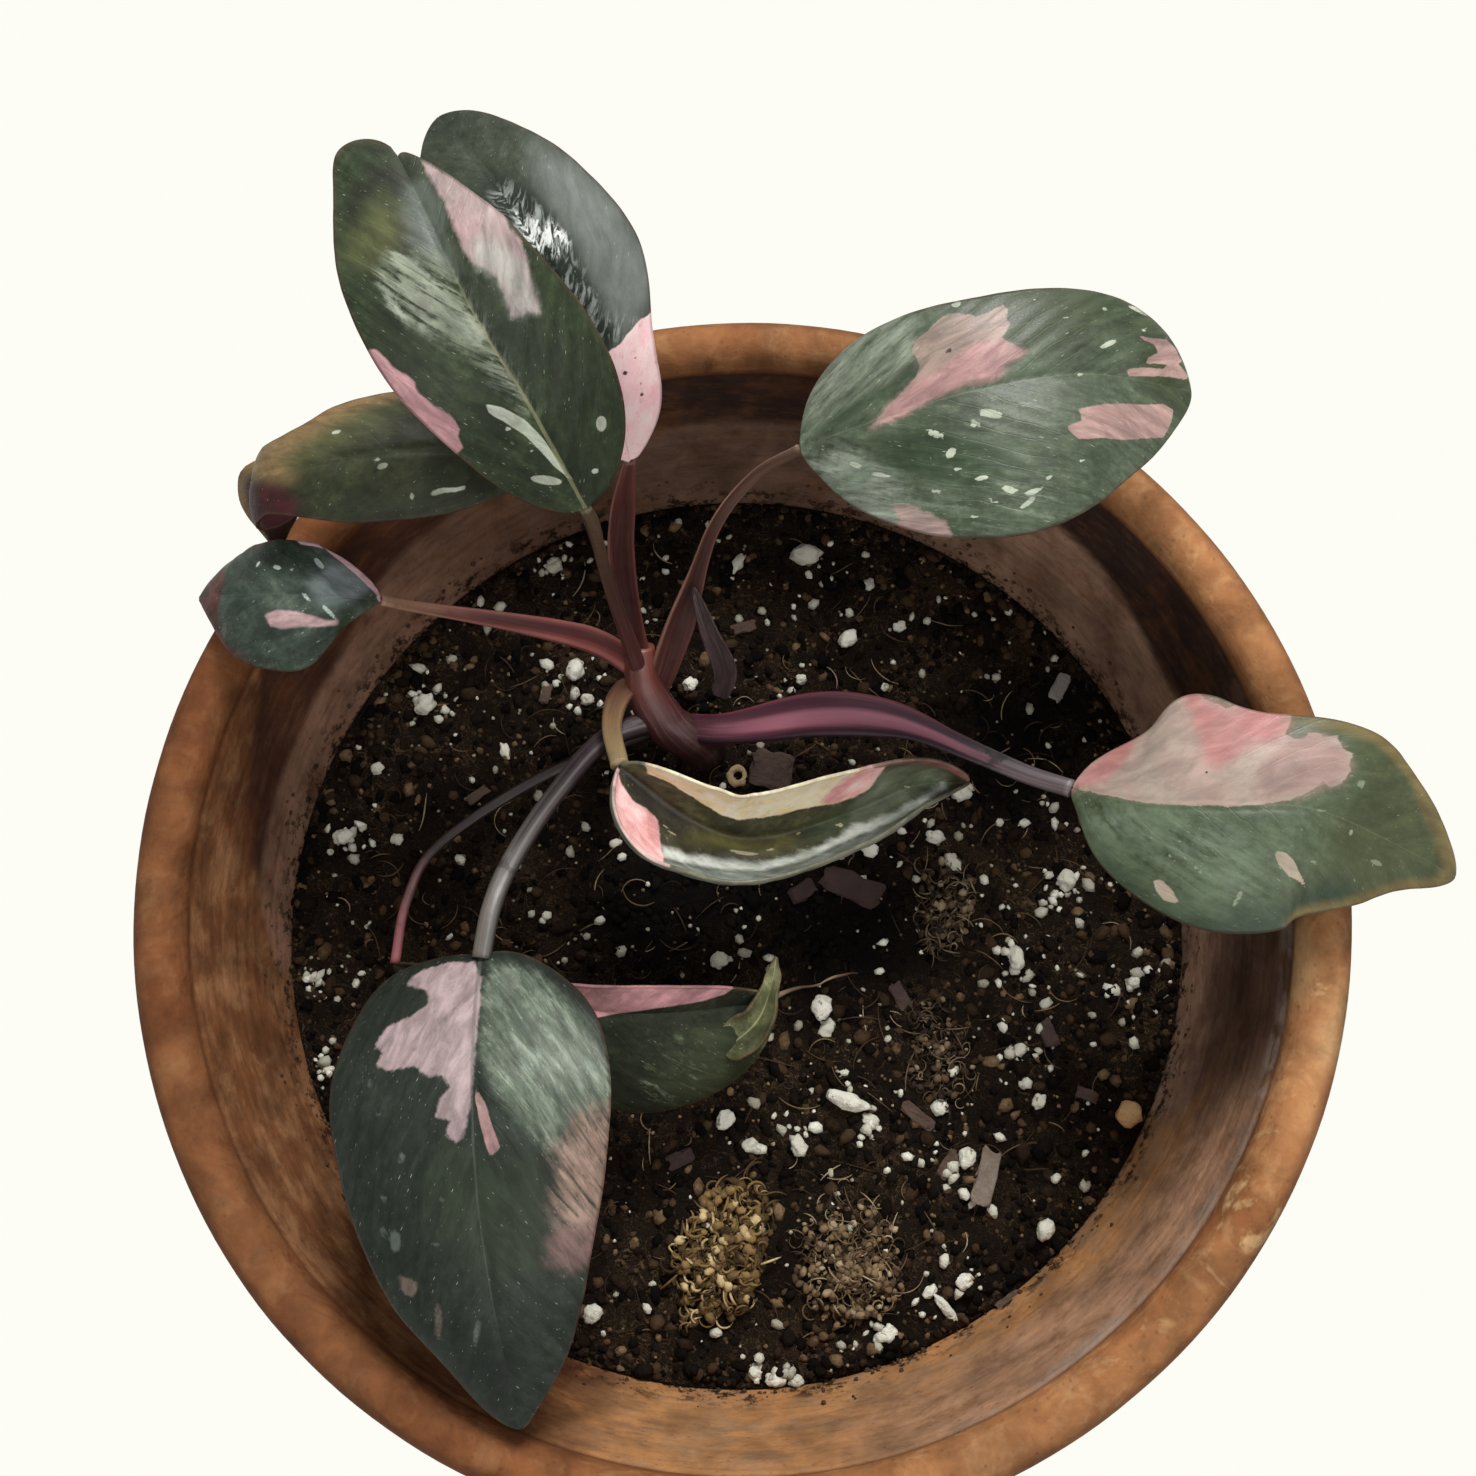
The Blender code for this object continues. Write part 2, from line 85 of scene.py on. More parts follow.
# one material's node tree, with short calls for the nodes that every finish here uses
class Paint:
    def __init__(self, name):
        self.material = bpy.data.materials.new(name)
        self.material.use_nodes = True
        self.tree = self.material.node_tree
        self.shader = self.tree.nodes["Principled BSDF"]
        self.place = self.add("ShaderNodeTexCoord").outputs["Object"]

    def add(self, kind, **settings):
        node = self.tree.nodes.new(kind)
        for key, value in settings.items():
            setattr(node, key, value)
        return node

    def feed(self, socket, value):
        value = getattr(value, "socket", value)
        if isinstance(value, bpy.types.NodeSocket):
            self.tree.links.new(value, socket)
        else:
            socket.default_value = value

    def math(self, operation, a, b=0.0):
        node = self.add("ShaderNodeMath", operation=operation)
        self.feed(node.inputs[0], a)
        self.feed(node.inputs[1], b)
        return Level(self, node.outputs[0])

    def direction(self, vector):
        node = self.add("ShaderNodeVectorMath", operation="NORMALIZE")
        self.feed(node.inputs[0], vector)
        return node.outputs[0]

    def split(self, vector):
        node = self.add("ShaderNodeSeparateXYZ")
        self.feed(node.inputs[0], vector)
        return [Level(self, socket) for socket in node.outputs]

    def join(self, x, y, z=0.0):
        node = self.add("ShaderNodeCombineXYZ")
        for socket, value in zip(node.inputs, (x, y, z)):
            self.feed(socket, value)
        return node.outputs[0]

    def attribute(self, name):
        return Level(self, self.add("ShaderNodeAttribute", attribute_name=name).outputs["Fac"])

    def chart(self, name):
        return self.add("ShaderNodeUVMap", uv_map=name).outputs[0]

    def noise(self, vector, scale, detail=3.0, rough=0.55, bend=0.0):
        node = self.add("ShaderNodeTexNoise")
        self.feed(node.inputs["Vector"], vector)
        node.inputs["Scale"].default_value = scale
        node.inputs["Detail"].default_value = detail
        node.inputs["Roughness"].default_value = rough
        node.inputs["Distortion"].default_value = bend
        return Level(self, node.outputs["Fac"])

    # the distance to the middle of the nearest of scattered cells, and a number of that cell's own
    def cells(self, vector, scale, feature="F1", channel=0):
        node = self.add("ShaderNodeTexVoronoi", feature=feature)
        self.feed(node.inputs["Vector"], vector)
        node.inputs["Scale"].default_value = scale
        return Level(self, node.outputs["Distance"]), self.split(node.outputs["Color"])[channel]

    # how far a value has gone from one level to another, eased; the levels may run downward
    def step(self, value, low, high, start=0.0, end=1.0):
        node = self.add("ShaderNodeMapRange", interpolation_type="SMOOTHSTEP")
        for socket, part in zip(node.inputs, (value, low, high, start, end)):
            self.feed(socket, part)
        return Level(self, node.outputs[0])

    def blend(self, share, first, second, how="MIX"):
        node = self.add("ShaderNodeMix", data_type="RGBA", blend_type=how, clamp_factor=True)
        self.feed(node.inputs[0], share)
        self.feed(node.inputs[6], first)
        self.feed(node.inputs[7], second)
        return node.outputs[2]

    def ramp(self, share, stops):
        node = self.add("ShaderNodeValToRGB")
        self.feed(node.inputs[0], share)
        bar = node.color_ramp.elements
        while len(bar) < len(stops):
            bar.new(0.5)
        for mark, (at, colour) in zip(bar, stops):
            mark.position = at
            mark.color = colour
        return node.outputs[0]

    def bump(self, height, strength, distance):
        node = self.add("ShaderNodeBump")
        node.inputs["Strength"].default_value = strength
        node.inputs["Distance"].default_value = distance
        self.feed(node.inputs["Height"], height)
        return node.outputs[0]

    def finish(self, colour, rough, normal=None, **constants):
        self.feed(self.shader.inputs["Base Color"], colour)
        self.feed(self.shader.inputs["Roughness"], rough)
        if normal:
            self.feed(self.shader.inputs["Normal"], normal)
        for key, value in constants.items():
            self.shader.inputs[key].default_value = value
        return self.material


def addPiece(name, bm, materials, smooth=True):
    mesh = bpy.data.meshes.new(name)
    bm.to_mesh(mesh)
    bm.free()
    for material in materials:
        mesh.materials.append(material)
    if smooth:
        mesh.shade_smooth()
    piece = bpy.data.objects.new(name, mesh)
    scene.collection.objects.link(piece)
    return piece


# a piece rides on the one body and hides the solid that it stands for; the name of its finish is not used
def dress(piece, slotName, *nodes):
    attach(piece, "root")
    if nodes:
        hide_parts(*nodes)
    return piece


# a smooth curve between the middle two of four values or places
def spline(v0, v1, v2, v3, part):
    return 0.5 * (2 * v1 + (v2 - v0) * part + (2 * v0 - 5 * v1 + 4 * v2 - v3) * part ** 2
                  + (3 * v1 - v0 - 3 * v2 + v3) * part ** 3)


# smooth value at a share from 0 to 1 of evenly spaced ones
def between(values, share):
    count = len(values) - 1
    at = min(max(share, 0), 1) * count
    first = min(int(at), count - 1)
    part = at - first
    v1, v2 = values[first], values[first + 1]
    v0 = values[first - 1] if first else 2 * v1 - v2
    v3 = values[first + 2] if first + 2 <= count else 2 * v2 - v1
    return spline(v0, v1, v2, v3, part)


# gives a function that reads a smooth path through points in millimetres, place and direction by share of its
# length, and that length; shares below 0 and above 1 run straight on
def pathReader(points):
    points = [Vector(point) * mm for point in points]
    spans = [(b - a).length for a, b in zip(points, points[1:])]
    total = sum(spans)

    def place(share):
        left = min(max(share, 0), 1) * total
        first = 0
        while first < len(spans) - 1 and left > spans[first]:
            left -= spans[first]
            first += 1
        near = points[max(first - 1, 0):first + 3]
        if first == 0:
            near = [2 * points[0] - points[1]] + near
        if len(near) < 4:
            near = near + [2 * points[-1] - points[-2]]
        return spline(*near, left / spans[first])

    def read(share):
        middle = min(max(share, 0.02), 0.98)
        along = (place(middle + 0.02) - place(middle - 0.02)).normalized()
        beyond = share - min(max(share, 0), 1)
        return place(share) + along * beyond * total, along

    return read, total


# the middle of a path at a share of its length, with the directions to its side and up from it
def crossAt(read, share, face):
    centre, forward = read(share)
    sideways = forward.cross(face).normalized()
    return centre, sideways, sideways.cross(forward)


def polar(radius, angle):
    return radius * math.cos(angle), radius * math.sin(angle)


# a place on a plane: an offset from a centre, turned by an angle
def turned(centre, u, v, angle):
    return (centre[0] + u * math.cos(angle) - v * math.sin(angle),
            centre[1] + u * math.sin(angle) + v * math.cos(angle))


def spinRound(bm, steps):
    bmesh.ops.spin(bm, geom=bm.verts[:] + bm.edges[:], axis=(0, 0, 1), cent=(0, 0, 0), angle=2 * math.pi,
                   steps=steps, use_merge=True)


# gives every corner of every face the place on a chart that a function finds for its vertex
def writeChart(bm, name, find):
    chart = bm.loops.layers.uv.new(name)
    for face in bm.faces:
        for loop in face.loops:
            loop[chart].uv = find(loop.vert)


def thicken(piece, thickness, underside=0):
    wall = piece.modifiers.new("thickness", "SOLIDIFY")
    wall.thickness = thickness
    wall.offset = 0
    wall.material_offset = underside


# edges: how far each goes in and down; lipGroove: depth, how far below the lip's middle, half width;
# the inner wall's finger marks begin at marksFrom and get close rows from finelyFrom up
pot = dict(
    height=160 * mm, lipRadius=90 * mm, lipHalf=4 * mm, floor=10 * mm, floorRadius=49 * mm,
    collarHeight=38 * mm, collarTaper=3 * mm, collarStep=5 * mm, baseRadius=57 * mm, floorFillet=5 * mm,
    collarEdge=(1.6 * mm, 2 * mm), footEdge=(2.6 * mm, 3 * mm), lipGroove=(0.5 * mm, 7 * mm, 1.6 * mm),
    marksFrom=100 * mm, finelyFrom=108 * mm, coarseRow=4 * mm, fineRow=0.55 * mm, collarRows=40, wallRows=70,
    turns=200, ringDepth=0.13 * mm, wobble=0.22 * mm,
    drains=3, drainRadius=5 * mm, drainCircle=28 * mm,
    # the darkest lip tone serves for dark specks of the clay and for painted shade; the stain tone paints
    # real stains and the painted shade in the crease under the lip
    lip=tone(150, 103, 66), lipWarm=tone(132, 84, 50), lipDarkAndShade=tone(82, 44, 22), lipPale=tone(208, 170, 122),
    stainAndShade=tone(78, 42, 22), near=tone(168, 120, 76), nearWorn=tone(150, 116, 86), wallBrown=tone(104, 66, 40),
    wallRed=tone(84, 47, 29), wallStreak=tone(132, 94, 64), wallDark=tone(50, 37, 33),
    wallLow=tone(156, 124, 104), grey=tone(150, 134, 122), crust=tone(34, 25, 19))

# the pot's paint reads the soil's level and slope, too; swells: height in millimetres, and how close they
# follow; stem, stemRadius: the bare spot round the stem, in millimetres; dip: its depth and how it spreads
soil = dict(
    level=122.7 * mm, slope=(-0.055, -0.045), gap=0.3 * mm, fillet=6 * mm, rings=120, steps=300,
    swells=((0.9, 0.045), (0.8, 0.16), (0.55, 0.4)), stem=(-7.3, 28.4), stemRadius=4.5, dip=(1.6, 90),
    black=tone(11, 9, 8), dark=tone(28, 21, 16), brown=tone(70, 54, 39), tan=tone(122, 100, 74),
    crumbs=4600, edgeCrumbs=900, dust=800, smallPerlite=380, fibres=420, wallSpecks=420)


def innerRadius(height):
    lipHeight = pot["height"] - pot["lipHalf"]
    lipInner = pot["lipRadius"] - 2 * pot["lipHalf"]
    share = (height - pot["floor"]) / (lipHeight - pot["floor"])
    return pot["floorRadius"] + (lipInner - pot["floorRadius"]) * share


# small ridges that the potter's fingers left, by height
def throwing(height):
    mark = height / mm
    ridge = noise.noise(Vector((mark * 0.9, 3.1, 0))) + 0.6 * noise.noise(Vector((mark * 2.2, 9.7, 0)))
    return pot["ringDepth"] * ridge


# half of the pot's section: floor, inner wall, round lip, collar, outer wall, foot
def potOutline():
    fillet = pot["floorFillet"]
    floor, floorRadius = pot["floor"], pot["floorRadius"]
    lipHeight = pot["height"] - pot["lipHalf"]
    points = [(0, floor), (floorRadius * 0.5, floor), (floorRadius - fillet, floor)]
    for step in range(1, 6):
        angle = math.radians(90 * step / 6)
        points.append((floorRadius - fillet * (1 - math.sin(angle)), floor + fillet * (1 - math.cos(angle))))
    low, high = floor + 1.5 * fillet, lipHeight - 0.6 * mm
    height = low
    while height < high:
        mark = throwing(height) if height > pot["marksFrom"] else 0
        points.append((innerRadius(height) + mark, height))
        height += pot["coarseRow"] if height < pot["finelyFrom"] else pot["fineRow"]
    centre = pot["lipRadius"] - pot["lipHalf"]
    for step in range(25):
        out, up = polar(pot["lipHalf"], math.pi * (1 - step / 24))
        points.append((centre + out, lipHeight + up))
    collarFoot = pot["height"] - pot["collarHeight"]
    collarRadius = pot["lipRadius"] - pot["collarTaper"]
    grooveDepth, grooveDrop, grooveHalf = pot["lipGroove"]
    for row in range(1, pot["collarRows"]):
        share = row / pot["collarRows"]
        height = lipHeight + (collarFoot + 3 * mm - lipHeight) * share
        radius = pot["lipRadius"] + (collarRadius - pot["lipRadius"]) * share
        dip = grooveDepth * math.exp(-((height - (lipHeight - grooveDrop)) / grooveHalf) ** 2)
        points.append((radius - dip + 1.2 * throwing(height + 0.5), height))
    inward, down = pot["collarEdge"]
    for step in range(7):
        angle = math.radians(90 * step / 6)
        height = collarFoot + down * (1 - math.sin(angle))
        points.append((collarRadius - inward * (1 - math.cos(angle)), height))
    bodyTop = (collarRadius - pot["collarStep"], collarFoot - 1.5 * mm)
    inward, down = pot["footEdge"]
    bodyFoot = (pot["baseRadius"] + 0.6 * mm, down)
    for row in range(pot["wallRows"] + 1):
        share = row / pot["wallRows"]
        height = bodyTop[1] + (bodyFoot[1] - bodyTop[1]) * share
        radius = bodyTop[0] + (bodyFoot[0] - bodyTop[0]) * share
        points.append((radius + 1.6 * throwing(height + 0.9), height))
    for step in range(1, 6):
        angle = math.radians(90 * step / 5)
        points.append((bodyFoot[0] - inward * (1 - math.cos(angle)), down * (1 - math.sin(angle))))
    return points + [(pot["baseRadius"] * 0.5, 0), (0, 0)]


# a round cutter for one drain hole, used up by its Boolean
def drill(target, radius, low, high, place):
    bm = bmesh.new()
    bmesh.ops.create_cone(bm, cap_ends=True, segments=40, radius1=radius, radius2=radius, depth=high - low)
    bmesh.ops.translate(bm, verts=bm.verts, vec=(place[0], place[1], (high + low) / 2))
    cutter = addPiece("drill", bm, [])
    cut = target.modifiers.new("hole", "BOOLEAN")
    cut.operation = "DIFFERENCE"
    cut.solver = "EXACT"
    cut.object = cutter
    return cutter


# puts a piece's modifiers into its mesh, so that what they read can be removed
def bakeModifiers(piece):
    bpy.context.view_layer.update()
    shaped = piece.evaluated_get(bpy.context.evaluated_depsgraph_get())
    mesh = bpy.data.meshes.new_from_object(shaped)
    piece.modifiers.clear()
    old, piece.data = piece.data, mesh
    bpy.data.meshes.remove(old)


# orange-brown clay: worn and limed lip with painted shade on its left and outside, inner wall in bearings of
# light, shade and damp, specks of peat
def clayPaint():
    p = Paint("turned clay, worn and limed")
    x, y, z = p.split(p.place)
    outward = p.direction(p.join(x, y))
    outX, outY, _ = p.split(outward)
    radius = p.math("SQRT", x * x + y * y)

    # how squarely a place on the pot lies towards a bearing, and the same eased between two levels
    def facing(degrees):
        bearing = math.radians(degrees)
        return outX * math.cos(bearing) + outY * math.sin(bearing)

    def toward(degrees, low, high):
        return p.step(facing(degrees), low, high)

    # marks drawn out round the wall, as the fingers left them on the wheel
    def drawn(around, upward, detail, rough):
        sway = p.noise(outward, 2.2, 2.0) * 0.008
        level = (z + sway) * upward
        return p.noise(p.join(outX * around, outY * around, level), 1.0, detail, rough, 0.3)

    streaks = drawn(9.0, 170.0, 6.0, 0.64)
    lines = drawn(18.0, 800.0, 4.0, 0.62)
    broad = p.noise(p.place, 30, 4.0, 0.6, 0.5)
    blotch = p.noise(p.place, 85, 5.0, 0.65, 0.8)
    grain = p.noise(p.place, 1100, 3.0, 0.6)
    # the inner wall leans out by 0.226, and lies 4 mm and more inside this line
    leaning = radius - z * 0.226
    inward = p.step(leaning, 0.0506, 0.05) * p.step(z, 0.156, 0.1552) * p.step(z, 0.008, 0.009)
    # rounded lip and outside: blotches, lime and stains of the clay, painted shade on the lip's left and on
    # the outside, and darker towards the back
    lip = p.blend(p.step(broad, 0.4, 0.62), pot["lip"], pot["lipWarm"])
    lip = p.blend(p.step(blotch, 0.5, 0.68) * 0.35, lip, pot["lipDarkAndShade"])
    lip = p.blend(p.step(blotch, 0.46, 0.32) * 0.22, lip, pot["lipPale"])
    lip = p.blend(p.step(lines, 0.5, 0.7) * 0.2, lip, pot["lipPale"])
    # painted shade on the left of the lip, then darker towards the back
    lip = p.blend(toward(195, 0.0, 0.9) * 0.65, lip, pot["lipDarkAndShade"])
    lip = p.blend(toward(95, 0.6, 0.95) * 0.35, lip, pot["lipDarkAndShade"])
    limed = toward(-9, 0.955, 0.985) * p.step(p.cells(p.place, 95, "SMOOTH_F1")[0], 0.55, 0.2)
    limed = p.math("MAXIMUM", limed, toward(-20, 0.7, 0.98) * p.step(blotch, 0.56, 0.68))
    lip = p.blend(limed * 0.75, lip, pot["lipPale"])
    smear = p.step(radius, 0.0855, 0.0825) * p.step(z, 0.148, 0.152)
    smear = p.step(p.noise(p.place, 52, 5.0, 0.7, 1.2), 0.55, 0.68) * smear
    lip = p.blend(smear * 0.7, lip, pot["stainAndShade"])
    # painted shade on the outside, which turns away from the light
    shadedOutside = p.math("MAXIMUM", p.step(radius, 0.0873, 0.0897), p.step(z, 0.15, 0.146))
    lip = p.blend(shadedOutside * 0.6, lip, pot["lipDarkAndShade"])
    # painted shade in the crease at the foot of the lip
    creaseShade = p.step(abs(z - 0.1557), 0.0009, 0.0002) * p.step(radius, 0.0846, 0.084)
    # inner wall: painted light and worn in front, damp and painted shade behind, with a dark upper band over
    # a lighter lower one
    wall = p.blend(p.step(streaks, 0.38, 0.66), pot["near"], pot["nearWorn"])
    wall = p.blend(p.step(blotch, 0.5, 0.7) * 0.3, wall, pot["wallBrown"])
    side = toward(200, 0.35, 0.85) + (streaks - 0.5) * 1.2
    leftClay = p.blend(p.step(streaks, 0.42, 0.62), pot["wallBrown"], pot["wallStreak"])
    leftClay = p.blend(p.step(broad, 0.48, 0.66), leftClay, pot["wallRed"])
    wall = p.blend(p.step(side, 0.15, 0.7), wall, leftClay)
    slope = x * soil["slope"][0] + y * soil["slope"][1]
    overSoil = z - (slope + soil["level"])
    lift = (outY - 0.6) * 0.03
    lift = p.math("MAXIMUM", p.math("MINIMUM", lift, 0.003), -0.003)
    band = z - lift + (blotch - 0.5) * 0.004
    # painted shade: the far wall darker, and its upper band dark with shade and damp
    low = p.blend(toward(100, 0.75, 0.97) * 0.6, pot["wallLow"], pot["wallDark"])
    dampAndShade = p.blend(p.step(band, 0.1385, 0.142), low, pot["wallDark"])
    dampAndShade = p.blend(p.step(streaks, 0.45, 0.65) * 0.45, dampAndShade, pot["wallBrown"])
    dampAndShade = p.blend(toward(165, 0.5, 0.9) * 0.4, dampAndShade, pot["wallRed"])
    lower = p.math("MINIMUM", (0.141 - z) * 25.0, 0.25)
    behind = p.step(facing(80) + lower, -0.15, 0.05) + (blotch - 0.5) * 0.5
    wall = p.blend(p.step(behind, 0.2, 0.8), wall, dampAndShade)
    # painted shade on the right side: greyer, darker still as the painted shadow under the right leaf, and a
    # pale grey line under the lip
    greyShade = toward(-32, 0.55, 0.95) * p.step(z + blotch * 0.012, 0.138, 0.148)
    wall = p.blend(greyShade * 0.7, wall, p.blend(p.step(streaks, 0.45, 0.7), pot["wallLow"], pot["wallBrown"]))
    # painted shadow of the right leaf on the wall
    shaded = toward(-6, 0.93, 0.985) * p.step(z + blotch * 0.01, 0.13, 0.14)
    wall = p.blend(shaded * 0.75, wall, pot["wallDark"])
    # a pale grey line under the lip: painted sheen and a pale mineral streak
    paleSheenLine = toward(-25, 0.6, 0.9) * p.step(z, 0.1505, 0.1535) * p.step(streaks, 0.42, 0.56)
    wall = p.blend(paleSheenLine * 0.6, wall, pot["grey"])
    wall = p.blend(p.step(lines, 0.52, 0.72) * 0.22, wall, pot["wallStreak"])
    wall = p.blend(p.step(lines, 0.48, 0.3) * 0.22, wall, pot["crust"])
    near = p.step(overSoil + blotch * -0.01, 0.003, -0.004)
    wall = p.blend(p.step(p.noise(p.place, 380, 5.0, 0.75), 0.5, 0.6) * near, wall, pot["crust"])
    colour = p.blend(inward, lip, wall)
    # the crease's painted shade
    colour = p.blend(creaseShade * 0.45, colour, pot["stainAndShade"])
    specks = p.step(p.cells(p.place, 520)[0], 0.2, 0.08) * 0.3
    colour = p.blend(specks, colour, pot["lipDarkAndShade"])
    colour = p.blend(grain * 0.2, colour, pot["lipDarkAndShade"])
    dabs = p.noise(p.place, 120, 5.0, 0.6, 0.3)
    colour = p.blend(0.32, colour, p.step(dabs, 0.28, 0.72), "OVERLAY")
    height = lines * 0.5 + grain * 0.35 + blotch * 0.4
    return p.finish(colour, p.step(grain, 0.2, 0.8, 0.72, 0.92), p.bump(height, 0.45, 0.0006),
                    **{"Specular IOR Level": 0.15})


# the section is spun round, bent slightly out of true and drilled
def makePot():
    bm = bmesh.new()
    last = None
    for radius, height in potOutline():
        vert = bm.verts.new((radius, 0, height))
        if last:
            bm.edges.new((last, vert))
        last = vert
    spinRound(bm, pot["turns"])
    bmesh.ops.remove_doubles(bm, verts=bm.verts, dist=0.01 * mm)
    for vert in bm.verts:
        radius = math.hypot(vert.co.x, vert.co.y)
        if radius < pot["floorRadius"]:
            continue
        around = Vector((vert.co.x / radius, vert.co.y / radius, 0))
        sway = noise.noise(around * 2.2 + Vector((0, 0, vert.co.z * 14)))
        sway += 0.35 * noise.noise(around * 9 + Vector((4, 0, vert.co.z * 60)))
        vert.co += around * pot["wobble"] * sway * min(max(vert.co.z / (20 * mm), 0), 1)
    bmesh.ops.recalc_face_normals(bm, faces=bm.faces)
    piece = addPiece("clayPot", bm, [clayPaint()])
    cutters = []
    for number in range(pot["drains"]):
        place = polar(pot["drainCircle"], 2 * math.pi * (number + 0.25) / pot["drains"])
        cutters.append(drill(piece, pot["drainRadius"], -2 * mm, pot["floor"] + 2 * mm, place))
    bakeModifiers(piece)
    for cutter in cutters:
        bpy.data.objects.remove(cutter, do_unlink=True)
    return dress(piece, "clay", "pot")


makePot()
print("pot turned")


# lumps standing out of the soil: x, y, radius, height in millimetres, as in the solid
lumps = [
    (-2, -53, 9, 3.4), (17, -56, 8.5, 2.8), (34, 2, 6, 1.8), (18, 4, 5, 1.6), (39, -43, 3.6, 1.6),
    (62, -33, 2.6, 2.2), (13, -16, 2.6, 1.8), (17, -31, 2.8, 1.7), (11, 62, 3.0, 1.9), (-24, -64, 2.4, 1.4),
    (5, -70, 3.0, 1.7), (35, -59, 3.0, 1.7), (36, -40, 2.4, 1.5), (45, -8, 2.6, 1.6), (-9, 39, 2.2, 1.3),
    (-29, 42, 2.4, 1.4), (-68, 13, 2.4, 1.4), (35, 8, 2.2, 1.3), (48, -51, 2.4, 1.5), (9, -38, 2.4, 1.5),
    (54, 38, 3.2, 1.4), (-55, 36, 2.8, 1.5)]

# the white grains that stand out: x, y, length, width, turn in degrees
bigPerlite = [
    (-33.1, 61.2, 3.0, 2.6, 20), (-29, 42, 3.6, 2.8, 70), (-27, 37, 2.4, 2.0, 10),
    (-9.1, 39.3, 2.6, 2.2, 30), (11, 63.1, 5.4, 3.4, 5), (-1.1, 61.8, 4.2, 1.8, 60),
    (18.1, 47.8, 3.6, 2.6, 40), (22.1, 58.1, 2.4, 2.0, 80), (27.2, 50, 2.2, 1.8, 15),
    (10, 40.6, 2.0, 1.8, 50), (-54.6, 35.6, 4.0, 3.2, 60), (-67.1, 12.5, 3.4, 2.6, 0),
    (-58.3, 12.5, 2.4, 2.0, 80), (-40.8, 27.7, 3.0, 1.6, 110), (-62.3, 24.5, 2.4, 2.0, 45),
    (37.2, 20.5, 3.6, 2.8, 20), (35.2, 8.3, 3.4, 2.4, 120), (54.4, 5.4, 3.4, 3.0, 60),
    (45.2, -7.8, 4.0, 2.6, 100), (13, -16, 3.8, 3.2, 90), (13.6, -19.2, 3.2, 2.8, 60),
    (-4, -8.1, 3.0, 2.6, 20), (64.5, -11.8, 2.4, 2.0, 0), (-2.9, -34, 3.2, 2.8, 60),
    (9, -38, 3.8, 2.6, 110), (17, -31, 7.0, 2.8, -18), (1.1, -38, 2.6, 2.2, 0), (48.1, -31, 2.6, 2.2, 50),
    (36, -40, 3.2, 2.6, 75), (32, -32, 2.8, 2.4, 30), (48, -51, 3.4, 2.6, 60), (-23.4, -63.5, 3.2, 2.6, 30),
    (21.1, 10.6, 3.4, 2.2, -20), (32.5, 12.9, 3.4, 2.2, -20), (45.4, -22.8, 2.4, 2.0, 30),
    (20.6, -34, 3.0, 1.9, -20), (5.1, -73.5, 3.4, 2.4, 0), (2.0, -72.5, 2.6, 2.2, 70),
    (8.4, -73.8, 2.4, 2.0, 20), (34.9, -58.9, 2.6, 2.4, 0), (31.9, -62.9, 5.0, 1.7, -50),
    (22.9, -66.8, 3.0, 2.4, 80), (29.6, -60.5, 2.6, 1.6, 40)]

# drifts of small perlite: x, y, reach, count
drifts = [
    (-72, -12, 3.5, 26), (-69.5, -26, 4, 22), (-66, 13, 4, 14), (-54, 37, 5, 16), (54, 4, 4.5, 20),
    (45, -7, 5, 16), (64, -10.5, 4, 12), (20, -32, 6, 18), (35, -41, 6, 18), (32, -62, 6, 14),
    (5, -73, 3.5, 18), (22, -67, 4, 10), (-33, 61, 5, 14), (9, -38, 5, 12), (45, -23, 5, 14),
    (-29, 43, 5, 12), (52, 18, 5, 10), (12, 58, 6, 12)]

# where shadow is painted black on the mix: x, y and half sizes
shadowSpots = [(6, 3, 30, 10), (46, 33, 14, 12), (-18, 0, 14, 12), (44, 22, 8, 8), (20, -6, 16, 8)]


# how deep the painted shadow on the mix is at a place, from 0 to 1
def shadowDepth(x, y):
    far = [((x / mm - cx) / rx) ** 2 + ((y / mm - cy) / ry) ** 2 for cx, cy, rx, ry in shadowSpots]
    return min(sum(math.exp(-each * 1.5) for each in far), 1)


def soilPlane(x, y):
    return soil["level"] + soil["slope"][0] * x + soil["slope"][1] * y


# the radius at which the sloping soil meets the wall at a bearing
def soilEdge(angle):
    radius = innerRadius(soil["level"]) - soil["gap"]
    for _ in range(3):
        radius = innerRadius(soilPlane(*polar(radius, angle))) - soil["gap"]
    return radius


# height of the ground over the sloping plane: rolling, crumbly, with its lumps and the dip at the stem
def soilRelief(x, y):
    place = Vector((x, y, 0)) / mm
    height = sum(tall * noise.noise(place * close) for tall, close in soil["swells"])
    for cx, cy, radius, tall in lumps:
        near = 1 - ((place.x - cx) ** 2 + (place.y - cy) ** 2) / (1.5 * radius) ** 2
        if near > 0:
            height += tall * near * near
    aroundStem = (place.x - soil["stem"][0]) ** 2 + (place.y - soil["stem"][1]) ** 2
    depth, spread = soil["dip"]
    return (height - depth * math.exp(-aroundStem / spread)) * mm


def ground(x, y):
    return soilPlane(x, y) + soilRelief(x, y)


